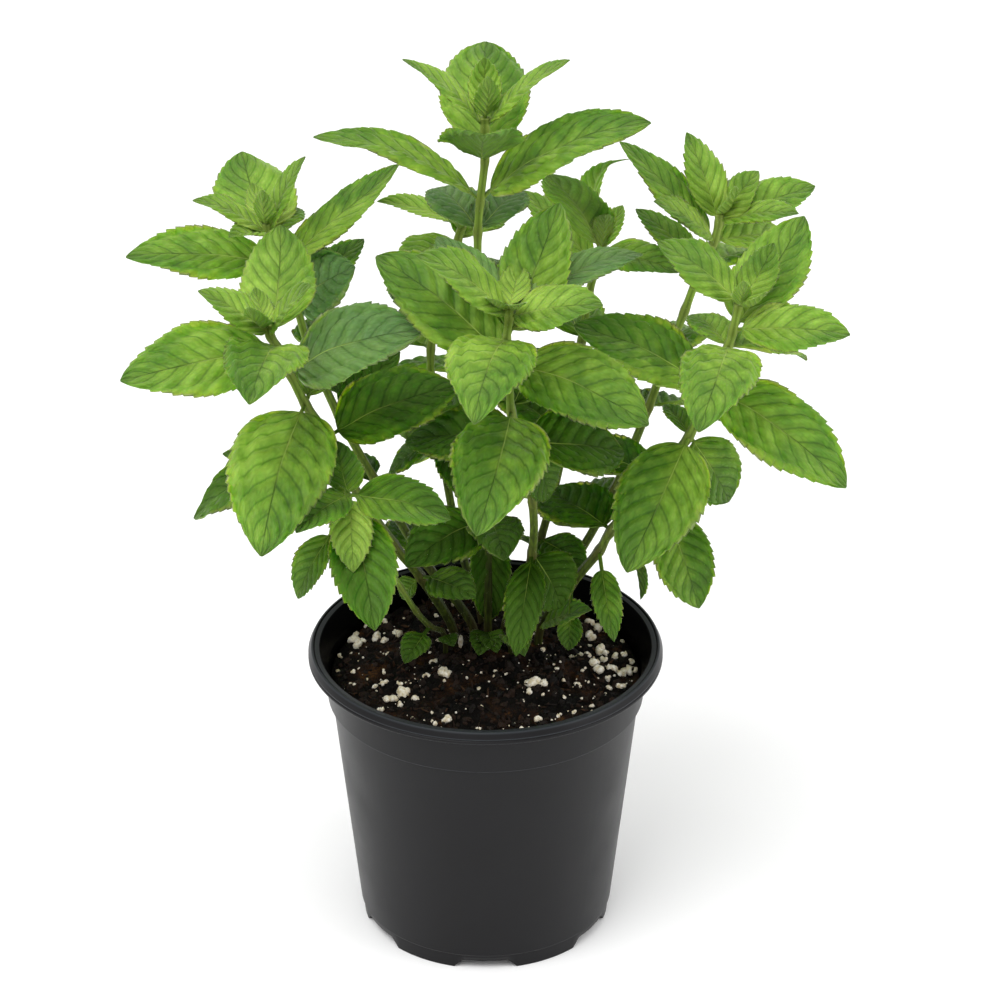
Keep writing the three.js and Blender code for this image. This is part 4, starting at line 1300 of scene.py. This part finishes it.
def plant_down():
    """The plant's fine hairs: colourless, so they catch the light as a pale fringe."""
    material, shader = new_material("plant_down", IOR=1.5, Roughness=0.4, Sheen_Weight=0.3)
    object_place = add_node(material, "ShaderNodeTexCoord").outputs["Object"]
    patches = add_node(
        material, "ShaderNodeTexNoise", {"Vector": object_place, "Scale": repeats(20)}
    )
    colour = add_node(material, "ShaderNodeMixRGB", {0: patches, 1: "c9d9a6", 2: "e4ecd0"})
    set_inputs(material, shader, Base_Color=colour)
    return material


def black_polypropylene():
    """Black polypropylene, injection moulded with a satin skin: soft highlights, and painted
    highlights on its edges and the rim's flat top.

    Inside, it is painted near black and barely reflects: painted shade.
    """
    material, shader = new_material("black_polypropylene", IOR=1.49)
    coordinates = add_node(material, "ShaderNodeTexCoord")
    object_place = coordinates.outputs["Object"]
    grain = add_node(
        material,
        "ShaderNodeTexNoise",
        {"Vector": object_place, "Scale": repeats(0.8), "Detail": 3.0},
    )
    cloud = add_node(
        material,
        "ShaderNodeTexNoise",
        {"Vector": object_place, "Scale": repeats(28), "Detail": 5.0},
    )

    # 1 on the painted highlights: the rim's flat top, the rim's two edges and the step
    height = add_node(material, "ShaderNodeSeparateXYZ", {0: object_place}).outputs["Z"]
    highlight_begins, highlight_full = (POT_HEIGHT - np.array(RIM_TOP_HIGHLIGHT)) * MM
    highlight_mask = add_node(
        material,
        "ShaderNodeMapRange",
        {"Value": height, "From Min": highlight_begins, "From Max": highlight_full},
    )
    for line in PAINTED_HIGHLIGHT_LINES:
        on_line = {0: height, 1: line * MM, 2: HIGHLIGHT_LINE_WIDTH / 2 * MM}
        near = add_node(material, "ShaderNodeMath", on_line, operation="COMPARE")
        highlight_mask = add_node(material, "ShaderNodeMath", {0: highlight_mask, 1: near}, operation="MAXIMUM")

    # 1 on the faces that look towards the pot's axis, which get painted shade
    flat_place = add_node(
        material,
        "ShaderNodeVectorMath",
        {0: object_place, 1: (1.0, 1.0, 0.0)},
        operation="MULTIPLY",
    )
    normal = coordinates.outputs["Normal"]
    outwards = add_node(
        material, "ShaderNodeVectorMath", {0: flat_place, 1: normal}, operation="DOT_PRODUCT"
    )
    inside = add_node(
        material, "ShaderNodeMath", {0: outwards.outputs["Value"], 1: -0.02}, operation="LESS_THAN"
    )

    colour = add_node(material, "ShaderNodeMixRGB", {0: cloud, 1: "0d0c0e", 2: "151517"})
    # Painted highlights: a paler grey on the rim's flat top and along the lines of its edges and
    # the step
    highlight_share = add_node(material, "ShaderNodeMath", {0: highlight_mask, 1: 0.7}, operation="MULTIPLY")
    colour = add_node(material, "ShaderNodeMixRGB", {0: highlight_share, 1: colour, 2: "2e3236"})
    # Painted shade: the inside is near black and barely reflects
    colour = add_node(material, "ShaderNodeMixRGB", {0: inside, 1: colour, 2: "040404"})
    shine = add_node(
        material, "ShaderNodeMapRange", {"Value": inside, "To Min": 0.19, "To Max": 0.02}
    )
    gloss = add_node(
        material,
        "ShaderNodeMapRange",
        {"Value": cloud, **NOISE_RANGE, "To Min": 0.34, "To Max": 0.44},
    )
    bump = add_node(
        material, "ShaderNodeBump", {"Strength": 0.12, "Distance": 0.0002, "Height": grain}
    )
    set_inputs(
        material, shader, Base_Color=colour, Roughness=gloss, Normal=bump, Specular_IOR_Level=shine
    )
    return material


def potting_mix():
    """Moist peat and composted bark: nearly black, brown where fibres dry, dull and broken."""
    material, shader = new_material("potting_mix", IOR=1.4, Specular_IOR_Level=0.15)
    object_place = add_node(material, "ShaderNodeTexCoord").outputs["Object"]
    patch = add_node(
        material,
        "ShaderNodeTexNoise",
        {"Vector": object_place, "Scale": repeats(12), "Detail": 6.0},
    )
    grit = add_node(
        material,
        "ShaderNodeTexNoise",
        {"Vector": object_place, "Scale": repeats(0.7), "Detail": 4.0},
    )
    mixed = add_node(
        material, "ShaderNodeMath", {0: grit, 1: 0.45, 2: patch}, operation="MULTIPLY_ADD"
    )
    colour = add_node(
        material,
        "ShaderNodeValToRGB",
        {0: mixed},
        stops=[(0.5, "040302"), (1.0, "543819"), (0.74, "090604"), (0.88, "2a190d")],
    )
    bump = add_node(
        material, "ShaderNodeBump", {"Strength": 0.8, "Distance": 0.0006, "Height": grit}
    )
    gloss = add_node(
        material,
        "ShaderNodeMapRange",
        {"Value": grit, **NOISE_RANGE, "To Min": 0.55, "To Max": 0.95},
    )
    set_inputs(material, shader, Base_Color=colour, Roughness=gloss, Normal=bump)
    return material


def bark(name, dark, light):
    """Bark or peat crumbs: dull, each in its own shade of brown."""
    material, shader = new_material(name, IOR=1.4, Specular_IOR_Level=0.3)
    object_place = add_node(material, "ShaderNodeTexCoord").outputs["Object"]
    tone = add_node(material, "ShaderNodeAttribute", attribute_name="tone").outputs["Fac"]
    grit = add_node(
        material,
        "ShaderNodeTexNoise",
        {"Vector": object_place, "Scale": repeats(0.6), "Detail": 3.0},
    )
    mixed = add_node(material, "ShaderNodeMath", {0: tone, 1: grit}, operation="MULTIPLY")
    colour = add_node(material, "ShaderNodeMixRGB", {0: mixed, 1: dark, 2: light})
    bump = add_node(
        material, "ShaderNodeBump", {"Strength": 0.5, "Distance": 0.0003, "Height": grit}
    )
    gloss = add_node(
        material, "ShaderNodeMapRange", {"Value": grit, **NOISE_RANGE, "To Min": 0.5, "To Max": 0.9}
    )
    set_inputs(material, shader, Base_Color=colour, Roughness=gloss, Normal=bump)
    return material


def perlite():
    """Expanded volcanic glass: chalky off-white with fine pores and stains of peat."""
    material, shader = new_material("perlite", IOR=1.5, Roughness=0.85, Specular_IOR_Level=0.3)
    object_place = add_node(material, "ShaderNodeTexCoord").outputs["Object"]
    stain = add_node(
        material,
        "ShaderNodeTexNoise",
        {"Vector": object_place, "Scale": repeats(1.6), "Detail": 4.0},
    )
    stain = add_node(
        material, "ShaderNodeMapRange", {"Value": stain, "From Min": 0.35, "From Max": 0.65}
    )
    colour = add_node(material, "ShaderNodeMixRGB", {0: stain, 1: "d2c29e", 2: "fbf6ea"})
    pores = add_node(
        material, "ShaderNodeTexVoronoi", {"Vector": object_place, "Scale": repeats(0.6)}
    )
    bump = add_node(
        material, "ShaderNodeBump", {"Strength": 0.6, "Distance": 0.0003, "Height": pores}
    )
    set_inputs(material, shader, Base_Color=colour, Normal=bump)
    return material


# ---- studio ----


def add_floor():
    """A wide pale floor under the pot."""
    mesh = bpy.data.meshes.new("studio_floor")
    reach = FLOOR_REACH
    corners = [(-reach, -reach, 0), (reach, -reach, 0), (reach, reach, 0), (-reach, reach, 0)]
    mesh.from_pydata(corners, [], [(0, 1, 2, 3)])
    material, _ = new_material("pale_floor", Base_Color="ffffff", Roughness=0.9)
    mesh.materials.append(material)
    floor = bpy.data.objects.new("studio_floor", mesh)
    bpy.context.scene.collection.objects.link(floor)


def add_soft_light(name, place, size, power):
    """A square lamp that faces the plant."""
    lamp = bpy.data.lights.new(name, "AREA")
    lamp.size, lamp.energy = size, power
    light = bpy.data.objects.new(name, lamp)
    light.location = place
    towards = Vector(LIT_PLACE) - Vector(place)
    light.rotation_euler = towards.to_track_quat("-Z", "Y").to_euler()
    bpy.context.scene.collection.objects.link(light)


def add_studio():
    """A near-white room, a soft key light at the upper left front and a weaker one at the right."""
    scene = bpy.context.scene
    scene.world = bpy.data.worlds.new("studio")
    scene.world.use_nodes = True
    background = scene.world.node_tree.nodes["Background"]
    background.inputs["Color"].default_value = (1, 1, 1, 1)
    background.inputs["Strength"].default_value = ROOM_LIGHT
    scene.view_settings.view_transform = "Standard"
    add_soft_light("key_light", *KEY_LIGHT)
    add_soft_light("side_light", *SIDE_LIGHT)


def add_camera():
    """The photograph's view: from the front, above, and far off."""
    lens = bpy.data.cameras.new("photo_view")
    lens.lens, lens.sensor_width = LENS, 36
    lens.clip_start, lens.clip_end = 0.1, 20
    camera = bpy.data.objects.new("photo_view", lens)
    camera.location = CAMERA_PLACE
    camera.rotation_euler = (np.radians(CAMERA_TILT), 0, 0)
    bpy.context.scene.collection.objects.link(camera)
    bpy.context.scene.camera = camera


add_camera()
add_studio()
add_floor()
make_pot(black_polypropylene())
make_soil(potting_mix())
make_crumbs(bark("peat_crumb", "050403", "342012"))
make_fibres(bark("bark_fibre", "0b0705", "563820"))
make_perlite(perlite())
plant_finishes = {"stem": mint_stem(), "leaf": mint_leaf(), "down": plant_down()}
for number, (name, plan) in enumerate(SHOOTS.items()):
    make_shoot(name, plan, number, plant_finishes)
